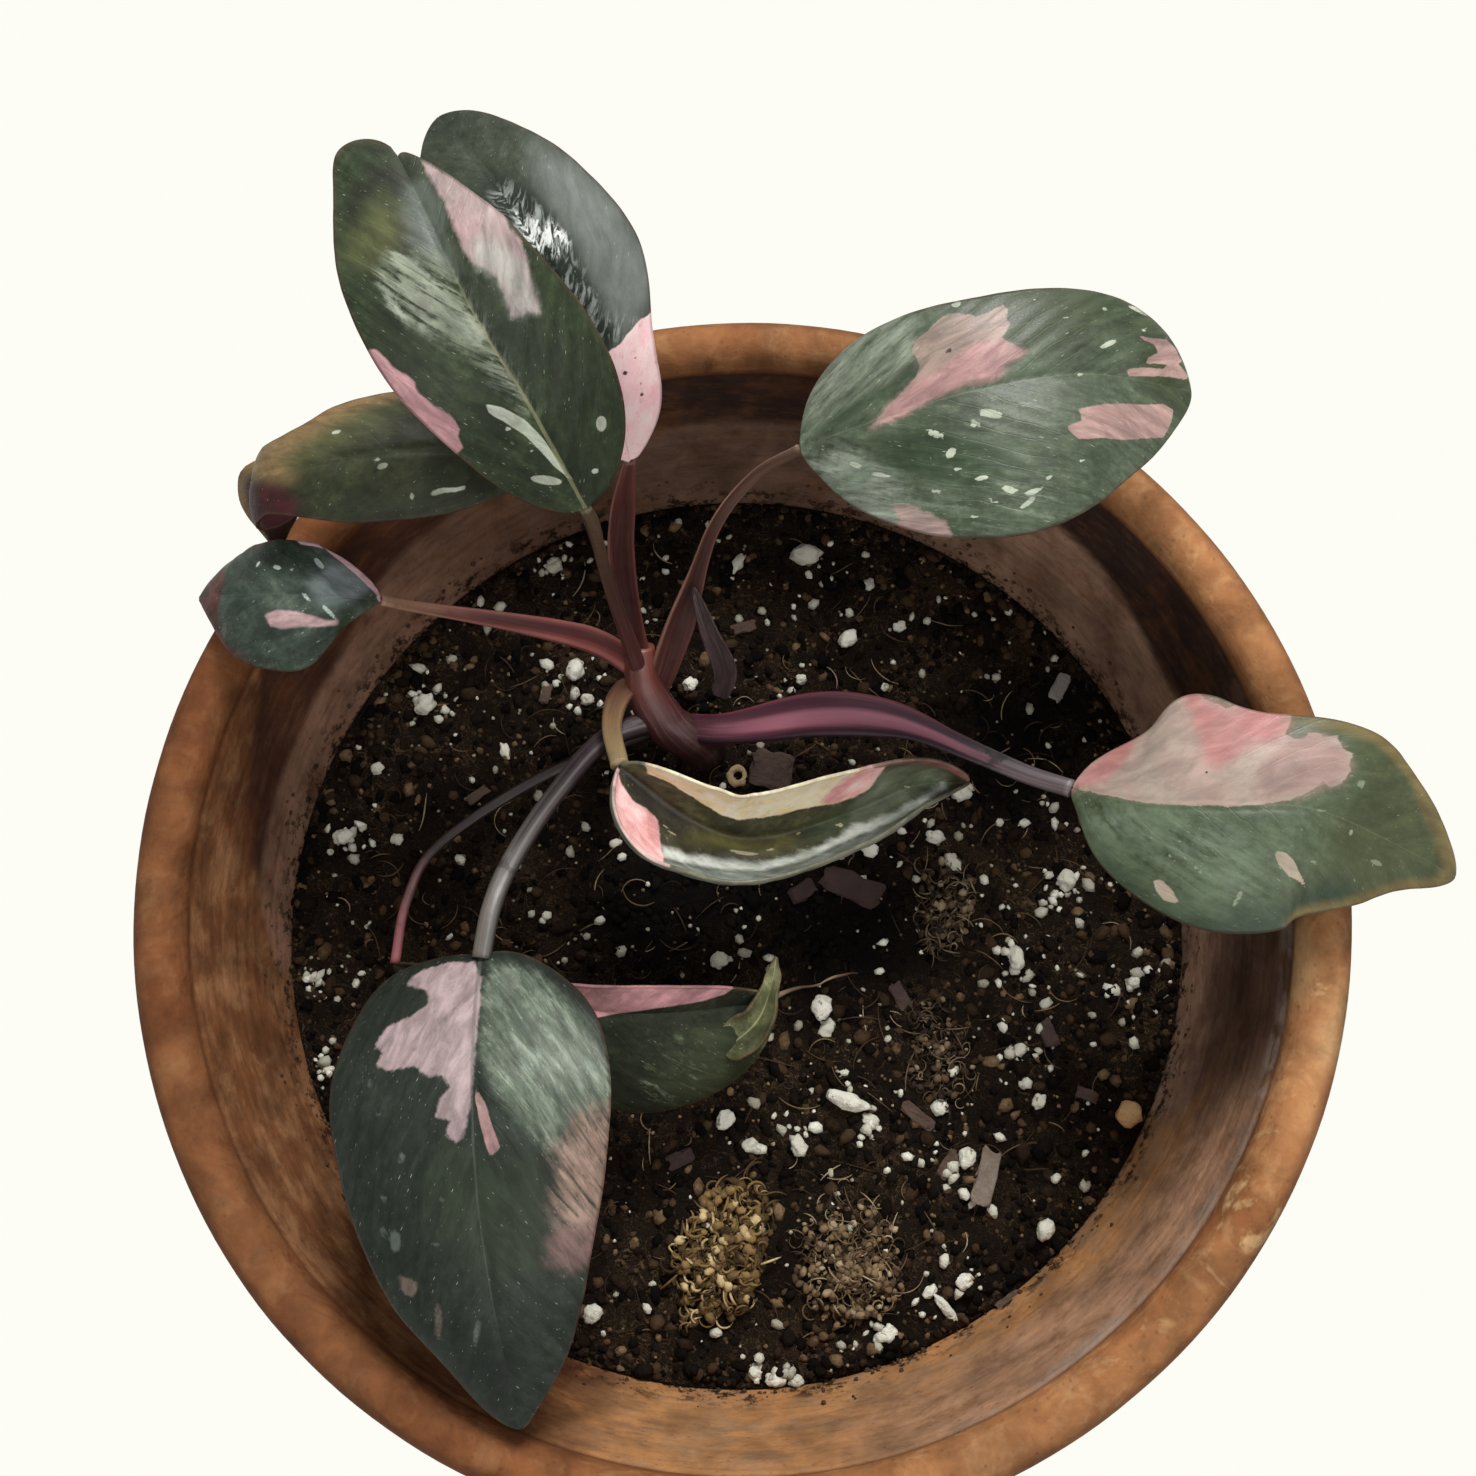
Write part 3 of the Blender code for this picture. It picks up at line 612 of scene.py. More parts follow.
def soilPaint():
    p = Paint("damp potting mix")
    clods = p.noise(p.place, 75, 4.0, 0.6, 0.4)
    fine = p.noise(p.place, 1500, 4.0, 0.7)
    stops = [(0.3, soil["black"]), (0.55, soil["dark"]), (0.85, soil["brown"])]
    colour = p.ramp(clods * 0.6 + fine * 0.4, stops)
    height = fine * 0.6
    # matted root fibres: thin winding lines in three sizes, stronger on the brown clods
    for scale, bend, weight in ((260, 1.6, 0.5), (520, 2.4, 0.6), (900, 1.2, 0.4)):
        matted = p.noise(p.place, scale, 2.0, 0.5, bend)
        line = p.step(abs(matted - 0.5), 0.022, 0.0)
        colour = p.blend(line * p.step(clods, 0.4, 0.62, weight * 0.25, weight), colour, soil["tan"])
        height = height + line * 0.5
    far, luck = p.cells(p.place, 520, channel=1)
    white = p.step(far, 0.18, 0.1) * p.step(luck, 0.9, 0.92)
    colour = p.blend(white * 0.7, colour, tone(170, 164, 150))
    # painted shadows, black
    colour = p.blend(p.attribute("castShadow") * 0.85, colour, soil["black"])
    return p.finish(colour, 0.93, p.bump(height, 0.9, 0.001), **{"Specular IOR Level": 0.06})


# the soil fills the pot from its floor; only its top is rough
def makeSoil():
    bm = bmesh.new()
    edge = innerRadius(soil["level"]) - soil["gap"]
    foot = pot["floor"] + soil["gap"]
    fillet = soil["fillet"]
    rings = soil["rings"]
    rows = [(edge * step / rings, soil["level"]) for step in range(rings + 1)]
    rows += [(innerRadius(foot + fillet) - soil["gap"], foot + fillet), (pot["floorRadius"] - fillet, foot)]
    verts = [bm.verts.new((radius, 0, height)) for radius, height in [*rows, (0, foot)]]
    for pair in zip(verts, verts[1:]):
        bm.edges.new(pair)
    spinRound(bm, soil["steps"])
    bmesh.ops.remove_doubles(bm, verts=bm.verts, dist=0.01 * mm)
    # how deep each place lies in painted shadow
    castShadow = bm.verts.layers.float.new("castShadow")
    for vert in bm.verts:
        if vert.co.z < soil["level"] - mm:
            continue
        share = math.hypot(vert.co.x, vert.co.y) / edge
        angle = math.atan2(vert.co.y, vert.co.x)
        x, y = polar(share * soilEdge(angle), angle)
        fine = Vector((x, y, 0)) / mm
        rough = 0.38 * noise.noise(fine * 0.9) + 0.24 * noise.noise(fine * 2.1 + Vector((5, 5, 0)))
        fade = min((1 - share) * 40, 1)
        vert.co = (x, y, soilPlane(x, y) + (soilRelief(x, y) + rough * mm) * fade)
        vert[castShadow] = shadowDepth(x, y)
    bmesh.ops.recalc_face_normals(bm, faces=bm.faces)
    return dress(addPiece("soilBody", bm, [soilPaint()]), "soil", "soil")


# many small shapes in one mesh, made in batches so that each operator works on few of them
def gather(name, shapes, build, paint, smooth):
    batch = 60
    whole = bmesh.new()
    for start in range(0, len(shapes), batch):
        part = bmesh.new()
        tint = part.verts.layers.float.new("tint")
        for number, shape in enumerate(shapes[start:start + batch], start):
            build(part, tint, number, shape)
        bmesh.ops.recalc_face_normals(part, faces=part.faces)
        carrier = bpy.data.meshes.new("batch")
        part.to_mesh(carrier)
        part.free()
        whole.from_mesh(carrier)
        bpy.data.meshes.remove(carrier)
    return addPiece(name, whole, [paint], smooth)


# small lumps: each is a place, three half sizes, a turn, a roughness and a tint
def scatterGrains(name, grains, paint, detail=1, smooth=False):
    def build(bm, tint, number, grain):
        place, size, turn, rough, shadeShare = grain
        made = bmesh.ops.create_icosphere(bm, subdivisions=detail, radius=1.0)["verts"]
        lay = Matrix.Rotation(turn[0], 3, "Z") @ Matrix.Rotation(turn[1], 3, "X")
        lay = lay @ Matrix.Rotation(turn[2], 3, "Y")
        for vert in made:
            swell = 1 + rough * noise.noise(vert.co * 1.7 + Vector((number * 3.7, number * 1.3, 0)))
            vert.co = Vector(place) + lay @ (vert.co * Vector(size)) * swell
            vert[tint] = shadeShare

    return dress(gather(name, grains, build, paint, smooth), "soil", "soil")


# a finish whose tone follows each shape's own tint, mottled, and with specks of another tone if asked
def tintPaint(name, stops, rough=0.9, scale=900, depth=0.0004, specks=None, shine=0.15):
    p = Paint(name)
    mottle = p.noise(p.place, scale, 4.0, 0.65)
    pick = p.attribute("tint") * 0.8 + mottle * 0.3
    colour = p.ramp(pick, stops)
    if specks:
        colour = p.blend(p.step(p.noise(p.place, scale * 0.45, 5.0, 0.7), 0.58, 0.7), colour, specks)
    height = mottle + p.noise(p.place, scale * 2.5, 3.0)
    return p.finish(colour, rough, p.bump(height, 0.7, depth), **{"Specular IOR Level": shine})


# a random turn about the upright axis and two slight tilts
def tumble(rng):
    return (rng.uniform(0, 6.28), rng.uniform(-0.6, 0.6), rng.uniform(-0.6, 0.6))


# a random spot on the ground, kept off the wall and the stem
def spotOnSoil(rng, keepOff):
    while True:
        angle = rng.uniform(0, 2 * math.pi)
        x, y = polar(math.sqrt(rng.random()) * (soilEdge(angle) - keepOff), angle)
        if math.dist((x / mm, y / mm), soil["stem"]) > soil["stemRadius"]:
            return x, y


def makeCrumbs():
    rng = random.Random(5)
    crumbs = []
    for number in range(soil["crumbs"] + soil["edgeCrumbs"]):
        size = rng.choice((0.4, 0.5, 0.6, 0.7, 0.8, 1.1)) * mm * rng.uniform(0.7, 1.25)
        if number < soil["crumbs"]:
            x, y = spotOnSoil(rng, size + 0.4 * mm)
        else:
            angle = rng.uniform(0, 2 * math.pi)
            x, y = polar(soilEdge(angle) - size * 0.9 - abs(rng.gauss(0, 1.2)) * mm, angle)
        stretch = rng.uniform(0.9, 1.7)
        # crumbs lying in the painted shadows are tinted darker
        crumbs.append(((x, y, ground(x, y) + size * rng.uniform(-0.3, 0.3)),
                       (size * stretch, size, size * rng.uniform(0.55, 0.9)), tumble(rng), 0.6,
                       rng.random() ** 1.6 * (1 - 0.85 * shadowDepth(x, y))))
    stops = [(0.15, soil["black"]), (0.5, soil["dark"]), (0.85, soil["brown"]), (1.05, soil["tan"])]
    scatterGrains("soilCrumbs", crumbs, tintPaint("peat crumbs", stops, 0.95, shine=0.05), 1, True)
    dust = []
    for _ in range(soil["dust"]):
        size = rng.uniform(0.2, 0.38) * mm
        x, y = spotOnSoil(rng, 0.8 * mm)
        place = (x, y, ground(x, y) + size * 0.5)
        dust.append((place, (size, size, size), tumble(rng), 0.4, rng.random() ** 1.5))
    stops = [(0.2, soil["brown"]), (0.55, soil["tan"]), (0.85, tone(140, 126, 104)),
             (1.0, tone(190, 184, 168))]
    scatterGrains("soilDust", dust, tintPaint("bark dust and lime specks", stops, 0.9))
    # damp specks thrown up on the inner wall, thinning out upwards
    specks = []
    for _ in range(soil["wallSpecks"]):
        size = rng.uniform(0.15, 0.5) * mm
        angle = rng.uniform(0, 2 * math.pi)
        height = soilPlane(*polar(soilEdge(angle), angle)) + rng.random() ** 2.2 * 9 * mm
        place = (*polar(innerRadius(height) - size * 0.35, angle), height)
        specks.append((place, (size, size, size * 0.7), tumble(rng), 0.5, rng.random() ** 2.5))
    scatterGrains("wallSpecks", specks, tintPaint("specks of peat", stops[:1] + [(1.0, soil["brown"])], 0.95))


def makePerlite():
    rng = random.Random(8)
    stops = [(0.2, tone(150, 146, 132)), (0.55, tone(190, 188, 174)), (1.0, tone(222, 221, 210))]
    white = tintPaint("white perlite", stops, 0.85, 1300, 0.0004, tone(120, 106, 86))
    big = []
    for x, y, length, width, turn in bigPerlite:
        x, y = x * mm, y * mm
        half = Vector((length, width, min(length, width) * 0.85)) * mm * 0.5
        place = (x, y, ground(x, y) + half.z * 0.4)
        big.append((place, half, (math.radians(turn), 0.15, 0.1), 0.42, rng.uniform(0.5, 1)))
    scatterGrains("perliteBig", big, white, 3, True)
    small = []
    for _ in range(soil["smallPerlite"]):
        size = rng.choice((0.26, 0.32, 0.4, 0.5, 0.62, 0.85)) * mm * rng.uniform(0.8, 1.2)
        x, y = spotOnSoil(rng, size + 0.6 * mm)
        place = (x, y, ground(x, y) + size * 0.4)
        small.append((place, (size * rng.uniform(1, 1.6), size, size * 0.8), tumble(rng), 0.5,
                      rng.uniform(0, 0.9)))
    for x, y, reach, count in drifts:
        for _ in range(count):
            size = rng.choice((0.3, 0.4, 0.5, 0.7, 0.95)) * mm * rng.uniform(0.8, 1.2)
            px, py = (x + rng.gauss(0, reach * 0.6)) * mm, (y + rng.gauss(0, reach * 0.6)) * mm
            if math.hypot(px, py) < soilEdge(math.atan2(py, px)) - size - 0.5 * mm:
                place = (px, py, ground(px, py) + size * 0.4)
                small.append((place, (size * rng.uniform(1, 1.7), size, size * 0.8), tumble(rng), 0.55,
                              rng.uniform(0.2, 1)))
    scatterGrains("perliteSmall", small, white, 1, True)


# a thin rod lofted along its path: a grid rolled up round it and closed along its seam
def rollRod(bm, path, widths, sides, rings):
    read, _ = pathReader(path)
    made = bmesh.ops.create_grid(bm, x_segments=rings, y_segments=sides, size=1)["verts"]
    for vert in made:
        share = (vert.co.x + 1) / 2
        angle = math.pi * (vert.co.y + 1)
        centre, forward = read(share)
        face = Vector((0, 0, 1)) if abs(forward.z) < 0.9 else Vector((0, 1, 0))
        sideways = forward.cross(face).normalized()
        upward = sideways.cross(forward)
        half = max(between(widths, share), 0.02) * mm
        vert.co = centre + (sideways * math.cos(angle) + upward * math.sin(angle)) * half
    bmesh.ops.remove_doubles(bm, verts=made, dist=0.0015 * mm)
    return made


def strawPaint(name, stops):
    return tintPaint(name, stops, 0.85, 700, 0.0002)


# root hairs: each is a spot, length, heading, how far it winds, half width, height of its arch and tint
def scatterFibres(name, hairs, paint):
    def build(bm, tint, _, hair):
        x, y, length, turn, wind, thick, lift, shadeShare = hair
        points, heading = [], turn
        px, py = x / mm, y / mm
        for step in range(6):
            rise = 0.25 + lift * math.sin(math.pi * step / 5)
            points.append((px, py, ground(px * mm, py * mm) / mm + rise))
            px += math.cos(heading) * length / 5
            py += math.sin(heading) * length / 5
            heading += wind / 5
        for vert in rollRod(bm, points, [thick * 0.5, thick, thick, thick * 0.35], 5, 14):
            if vert.is_valid:
                vert[tint] = shadeShare

    return dress(gather(name, hairs, build, paint, True), "soil", "soil")


def makeFibres():
    rng = random.Random(21)
    hairs = []
    for _ in range(soil["fibres"]):
        x, y = spotOnSoil(rng, 7 * mm)
        hairs.append((x, y, rng.uniform(2, 8), rng.uniform(0, 6.28), rng.uniform(-2.6, 2.6),
                      rng.uniform(0.05, 0.13), rng.uniform(0, 0.9), rng.random() ** 1.4))
    stops = [(0.1, soil["dark"]), (0.45, soil["brown"]), (0.8, soil["tan"]), (1.0, tone(168, 156, 134))]
    scatterFibres("rootFibres", hairs, strawPaint("root fibres", stops))


# clumps of dead moss and matted fibre: two in front, two looser ones behind them; reach: half sizes;
# turn: degrees; knobs, curls: how many; knob, curl: their half widths; stops: tones from dark to light
clumps = [
    dict(name="mossClump", centre=(-3.2, -54.6), reach=(6.4, 11), turn=-22, knobs=360, curls=260, knob=0.62,
         curl=0.2,
         stops=[(0.1, tone(34, 26, 16)), (0.45, tone(76, 59, 36)), (0.8, tone(130, 105, 66)),
                (1.0, tone(198, 178, 134))]),
    dict(name="fibreClump", centre=(17, -56), reach=(8, 9), turn=30, knobs=420, curls=170, knob=0.5,
         curl=0.12,
         stops=[(0.1, tone(34, 25, 18)), (0.45, tone(74, 58, 42)), (0.8, tone(120, 100, 74)),
                (1.0, tone(166, 152, 124))]),
    dict(name="fibreTuft", centre=(33.8, 1), reach=(4.2, 8), turn=-8, knobs=90, curls=130, knob=0.5,
         curl=0.12,
         stops=[(0.1, tone(34, 26, 20)), (0.45, tone(62, 50, 38)), (0.8, tone(98, 82, 62)),
                (1.0, tone(140, 128, 104))]),
    dict(name="fibreDrift", centre=(32, -23), reach=(5, 9), turn=5, knobs=80, curls=90, knob=0.5, curl=0.1,
         stops=[(0.1, tone(30, 22, 17)), (0.45, tone(56, 44, 34)), (0.8, tone(92, 76, 58)),
                (1.0, tone(134, 120, 96))]),
]


def makeClump(spec, seed):
    rng = random.Random(seed)
    paint = strawPaint(spec["name"], spec["stops"])
    turn = math.radians(spec["turn"])

    def spot():
        angle = rng.uniform(0, 6.28)
        ragged = noise.noise(Vector((*polar(2, angle), seed)))
        far = rng.random() ** 0.7 * (1.08 + 0.3 * ragged)
        u, v = spec["reach"][0] * far * math.cos(angle), spec["reach"][1] * far * math.sin(angle)
        x, y = turned(spec["centre"], u, v, turn)
        return x * mm, y * mm

    knobs = []
    for _ in range(spec["knobs"]):
        x, y = spot()
        size = spec["knob"] * mm * rng.uniform(0.6, 1.5)
        lift = rng.uniform(0, 1.6)
        # the higher a knob sits the lighter its tint: painted highlight on top and painted shade lower in the
        # clump
        knobs.append(((x, y, ground(x, y) + size * lift), (size * rng.uniform(1, 1.5), size, size * 0.8),
                      tumble(rng), 0.5, min(lift / 1.6 * rng.uniform(0.6, 1.3), 1)))
    scatterGrains(spec["name"] + "Knobs", knobs, paint, 1, True)
    curls = []
    for _ in range(spec["curls"]):
        x, y = spot()
        curls.append((x, y, rng.uniform(2, 5), rng.uniform(0, 6.28), rng.uniform(-5, 5),
                      spec["curl"] * rng.uniform(0.6, 1.3), rng.uniform(0.2, 1.6), rng.random()))
    scatterFibres(spec["name"] + "Curls", curls, paint)


# flat bits of bark: place, length, width, thickness, turn and tilt in degrees, and a tint
barkChips = [
    (39, -43, 9.0, 3.0, 1.2, 74, 6, 0.85), (4.9, 24.3, 6.6, 6.0, 1.4, -10, 6, 0.38),
    (18, 4.1, 9.5, 4.2, 1.6, -22, 8, 0.25), (10, 3.5, 4.2, 2.6, 1.2, 30, 14, 0.15),
    (28.5, -33.5, 6.5, 2.0, 1.0, -38, 10, 0.45), (33, -41, 4.6, 2.0, 1.0, 55, -10, 0.5),
    (54.7, 39.1, 5.2, 2.2, 0.7, 62, 14, 1.3), (-10, -40, 4.0, 2.2, 1.0, 20, 8, 0.3),
    (50, -20, 4.4, 2.4, 1.1, 115, 12, 0.35), (-45, 20, 4.0, 1.6, 0.8, 40, 8, 0.5),
    (-22, 55, 5.0, 2.0, 1.0, -30, 12, 0.45), (0, 50, 4.0, 1.8, 0.9, 15, 10, 0.5),
    (60, 14, 4.2, 2.0, 1.0, 80, 8, 0.3), (26, -14, 4.6, 2.2, 1.0, -60, 12, 0.35),
    (-34, 38, 3.8, 1.6, 0.9, 75, 8, 0.5), (42, -62, 4.0, 1.8, 0.9, 30, 6, 0.55),
    (56, -30, 3.6, 1.8, 0.9, -20, 8, 0.4)]


def makeBark():
    # a chip that is still being shaped has no tint
    def build(bm, tint, number, chip):
        x, y, length, width, thick, turn, tilt, shadeShare = chip
        bmesh.ops.create_cube(bm, size=1)
        edges = [edge for edge in bm.edges if edge.verts[0][tint] == 0]
        bmesh.ops.bevel(bm, geom=edges, offset=0.12, segments=2, profile=0.5, affect="EDGES", material=-1)
        edges = [edge for edge in bm.edges if edge.verts[0][tint] == 0]
        bmesh.ops.subdivide_edges(bm, edges=edges, cuts=2, use_grid_fill=True)
        lay = Matrix.Rotation(math.radians(turn), 3, "Z") @ Matrix.Rotation(math.radians(tilt), 3, "Y")
        lay = lay @ Matrix.Diagonal((length, width, thick))
        base = Vector((x * mm, y * mm, ground(x * mm, y * mm) + 0.35 * thick * mm))
        for vert in [vert for vert in bm.verts if vert[tint] == 0]:
            rough = Vector((noise.noise(vert.co * 3.1 + Vector((number, 0, 0))),
                            noise.noise(vert.co * 3.7 + Vector((0, number, 0))),
                            noise.noise(vert.co * 6 + Vector((0, 0, number))) * 1.2))
            vert.co = base + lay @ (vert.co + rough * 0.16) * mm
            vert[tint] = shadeShare

    stops = [(0.1, tone(34, 25, 22)), (0.4, tone(62, 48, 47)), (0.75, tone(98, 82, 68)),
             (1.0, tone(140, 136, 130))]
    paint = tintPaint("weathered bark", stops, 0.85, 420, 0.0006)
    dress(gather("barkChips", barkChips, build, paint, False), "soil", "soil")


# one round clay-coloured bead and one small open ring of husk
def makeOddBits():
    x, y = 62.3 * mm, -33 * mm
    stops = [(0.1, tone(150, 110, 70)), (0.6, tone(190, 150, 104)), (1.0, tone(216, 190, 150))]
    bead = [((x, y, ground(x, y) + 1.1 * mm), (2.2 * mm, 2.0 * mm, 1.9 * mm), (0.4, 0.1, 0), 0.25, 0.6)]
    scatterGrains("tanBead", bead, tintPaint("tan bead", stops, 0.8), 3, True)
    x, y = -1 * mm, 23.4 * mm
    bm = bmesh.new()
    bmesh.ops.create_circle(bm, segments=12, radius=0.55 * mm)
    bmesh.ops.rotate(bm, verts=bm.verts, matrix=Matrix.Rotation(math.radians(90), 3, "X"))
    bmesh.ops.translate(bm, verts=bm.verts, vec=(1.3 * mm, 0, 0))
    spinRound(bm, 28)
    for vert in bm.verts:
        vert.co = Vector((x, y, ground(x, y) + 0.6 * mm)) + vert.co * (1 + 0.25 * noise.noise(vert.co * 900))
    bmesh.ops.recalc_face_normals(bm, faces=bm.faces)
    paint = tintPaint("husk", [(0.0, tone(120, 100, 74)), (0.3, tone(170, 150, 118))], 0.85)
    dress(addPiece("huskRing", bm, [paint]), "soil", "soil")


makeSoil()
makeCrumbs()
makePerlite()
makeFibres()
for number, clump in enumerate(clumps):
    makeClump(clump, 40 + number)
makeBark()
makeOddBits()
print("soil laid")


leafGrid = dict(stations=130, ribs=70, thickness=0.55 * mm)

# midrib: from the base to the tip; left, right: half widths at seven stations, seen from above with the
# tip pointing away; fold, curl: degrees by which each side stands up at the midrib and bends to its edge;
# lobe, reach: how far each side runs back past the stalk and on past the tip. All lengths in millimetres.
# crop: left, top and enlargement of the part of the photograph on which the leaf's patches were traced.
# Patches lie over the base tones in turn. outlines: corners in pixels of that crop; shares: corners in shares
# of the blade's length and half width, left is minus; spots: place, half length and half width, degrees.
# Tones are as the photograph shows them; light: how many times as bright the studio makes the paint.
# soft, jag: how blurred and how torn a patch's edge is, in millimetres; brush, grainy: how it breaks up.
leaves = {}
leaves["leaf_upper_left"] = dict(
    midrib=[(-18.6, 47.3, 190), (-23.9, 56, 202), (-29.5, 64.4, 210), (-34.1, 73.3, 214),
            (-40.2, 86.5, 212.5)],
    left=[4.1, 8.4, 11.5, 13.8, 13.2, 9.6, 6.5], right=[5.8, 10.3, 12.5, 12.2, 9.4, 5.7, 2.2],
    fold=(8, 8), curl=(-20, -20), reach=(13, 1.8), slot="leaf_dark", crop=(310, 90, 2.619), light=1.36,
    base=[(32, 40, 25), (48, 60, 38), (76, 92, 60)], slant=1.25, midribTone=(150, 152, 112),
    midribShare=0.75, midribHalf=0.03, rough=0.45, spec=0.25, coat=0.05, comb=(6, 2),
    midribSpan=(2.4, 4.4), flecks=1.3,
    patches=[
        dict(tones=((88, 92, 56), (70, 78, 48)), soft=2.5, jag=1.5,  # olive upper corner, with painted sheen
             outlines=[[(60, 260), (100, 225), (160, 225), (215, 275), (250, 345), (225, 400), (160, 430),
                 (100, 400), (66, 340)]]),
        dict(tones=((26, 29, 20), (34, 38, 26)), soft=2, jag=1.5, share=0.8,  # dark top
             outlines=[[(62, 260), (66, 180), (100, 140), (200, 150), (255, 190), (290, 240), (250, 262),
                 (215, 262), (160, 216), (100, 216), (72, 250)]]),
        dict(tones=((112, 120, 114), (90, 100, 90)), soft=1.6, jag=1.5, share=0.75,  # painted blue-grey sheen
             outlines=[[(255, 250), (300, 235), (335, 270), (350, 330), (345, 380), (380, 430),
                 (400, 480), (350, 480), (300, 430), (260, 380), (240, 310)]]),
        # brushed marbling
        dict(tones=((158, 165, 148), (130, 139, 118)), soft=1.4, jag=1.8, brush=(0.42, 0.58),
             outlines=[[(205, 395), (260, 420), (330, 440), (385, 500), (420, 550), (455, 620),
                 (500, 690), (545, 770), (590, 850), (560, 850), (490, 770), (430, 700), (370, 660),
                 (300, 620), (240, 580), (190, 510), (150, 440)]]),
        # strokes
        dict(tones=((178, 184, 168), (154, 163, 143)), soft=0.5, jag=1.8, brush=(0.38, 0.5), share=0.9,
             outlines=[[(205, 400), (262, 430), (312, 480), (345, 520), (380, 560), (400, 590),
                 (375, 600), (330, 580), (275, 560), (232, 505)],
                 [(385, 560), (430, 590), (458, 640), (440, 670), (400, 642), (370, 620), (300, 612),
                 (280, 600), (340, 590)],
                 [(150, 440), (185, 480), (215, 530), (235, 575), (215, 560), (180, 510)]]),
        dict(tones=((186, 156, 158), (172, 152, 150)), soft=0.4, jag=1.1,  # streak, pink
             outlines=[[(285, 175), (330, 180), (395, 230), (440, 272), (480, 312), (515, 350),
                 (545, 385), (556, 410), (566, 450), (578, 500), (590, 545), (600, 582), (585, 580),
                 (565, 580), (548, 592), (530, 600), (518, 570), (508, 530), (490, 492), (470, 474),
                 (445, 456), (422, 446), (405, 424), (390, 390), (375, 355), (365, 325), (350, 290),
                 (330, 255), (305, 215)]]),
        # streak, white
        dict(tones=((196, 194, 188), (180, 180, 172)), light=1.3, soft=1.3, jag=1.6, share=0.85,
             outlines=[[(425, 425), (432, 392), (470, 384), (515, 410), (550, 440), (564, 480),
                 (576, 520), (588, 556), (594, 578), (570, 578), (548, 588), (532, 592), (522, 556),
                 (510, 520), (494, 494), (468, 474), (440, 456)]]),
        dict(tones=((222, 170, 174), (204, 152, 156)), light=1.38, soft=0.2, jag=0.7,  # pink margin
             outlines=[[(110, 612), (150, 630), (180, 665), (205, 695), (235, 715), (260, 740),
                 (268, 770), (300, 800), (340, 830), (370, 850), (385, 875), (385, 900), (397, 930),
                 (380, 950), (340, 930), (300, 890), (250, 840), (200, 790), (150, 720), (115, 650)]]),
        dict(tones=((204, 210, 196), (190, 198, 180)), soft=0.08, jag=0.15,  # white lines and spots
             outlines=[[(455, 818), (500, 828), (560, 862), (600, 903), (635, 948), (665, 992),
                 (690, 1020), (672, 1014), (640, 987), (600, 942), (560, 902), (510, 868), (468, 845)]],
             spots=[(761, 872, 14, 21, -10), (617, 1020, 42, 12, 8), (745, 996, 10, 7, 0),
                (565, 775, 6, 6, 0), (515, 885, 9, 6, 0), (528, 922, 7, 5, 0), (578, 942, 6, 5, 0)]),
    ])

leaves["leaf_rear"] = dict(
    midrib=[(-14.1, 59.5, 176), (-16.1, 64.6, 189), (-21.2, 74.6, 199), (-29, 87.2, 203), (-38.2, 100, 200)],
    left=[4.5, 8, 11, 12, 11.5, 9, 4.5], right=[3.2, 6.9, 9.1, 12.8, 10.9, 7.7, 4.4], fold=(4, 8),
    curl=(-25, -25), wave=0.35, slot="leaf_glossy", crop=(310, 90, 2.619), light=0.62,
    base=[(26, 31, 25), (44, 49, 40), (66, 70, 60)], slant=0.9, midribTone=(80, 84, 74), midribShare=0,
    midribHalf=0.02, rough=0.6, spec=0.12, coat=0, dabs=0.2,
    patches=[
        dict(tones=((116, 121, 118), (100, 105, 102)), light=0.8, soft=3, jag=1.5, share=0.85,  # painted grey sheen
             outlines=[[(590, 150), (660, 190), (740, 250), (800, 310), (850, 390), (875, 460),
                 (885, 560), (850, 620), (800, 650), (765, 610), (745, 550), (730, 480), (700, 410),
                 (650, 340), (620, 270), (590, 210)]]),
        dict(tones=((26, 31, 26), (34, 40, 34)), soft=1, jag=2, share=0.9,  # dark leaf and painted dark reflection
             outlines=[[(455, 230), (520, 230), (580, 270), (640, 330), (680, 400), (720, 480),
                 (760, 560), (800, 640), (760, 690), (720, 640), (680, 560), (620, 490), (560, 420),
                 (500, 340), (450, 290)]]),
        # painted broken highlights
        dict(tones=((160, 166, 162), (116, 124, 120)), light=0.8, soft=1, jag=1.5, grainy=(7, 0.48, 0.62),
             share=0.7,
             outlines=[[(470, 270), (520, 240), (570, 290), (620, 310), (660, 370), (700, 430),
                 (730, 500), (770, 580), (830, 600), (850, 600), (830, 640), (790, 665), (740, 630),
                 (700, 560), (650, 515), (610, 470), (560, 420), (510, 350), (480, 310)]]),
        # painted bright highlights
        dict(tones=((222, 226, 222), (196, 200, 198)), light=0.8, soft=0.6, jag=1.5, grainy=(8, 0.46, 0.56),
             outlines=[[(530, 320), (580, 330), (640, 350), (680, 390), (680, 430), (640, 440),
                 (590, 420), (550, 370)]]),
        dict(tones=((255, 224, 224), (255, 204, 210)), light=1, soft=0.12, jag=0.7,  # pink foot
             outlines=[[(760, 690), (785, 680), (812, 664), (835, 632), (860, 605), (890, 580),
                 (930, 620), (935, 700), (945, 760), (945, 860), (915, 930), (870, 960), (835, 990),
                 (800, 960), (780, 880), (770, 780)]]),
        dict(tones=((60, 46, 46), (50, 40, 40)), light=0.5, soft=0.1, jag=0.1,  # dark spots
             spots=[(824, 740, 7, 7, 0), (865, 770, 4, 5, 0), (868, 795, 5, 6, 0), (850, 700, 3, 3, 0)]),
    ])

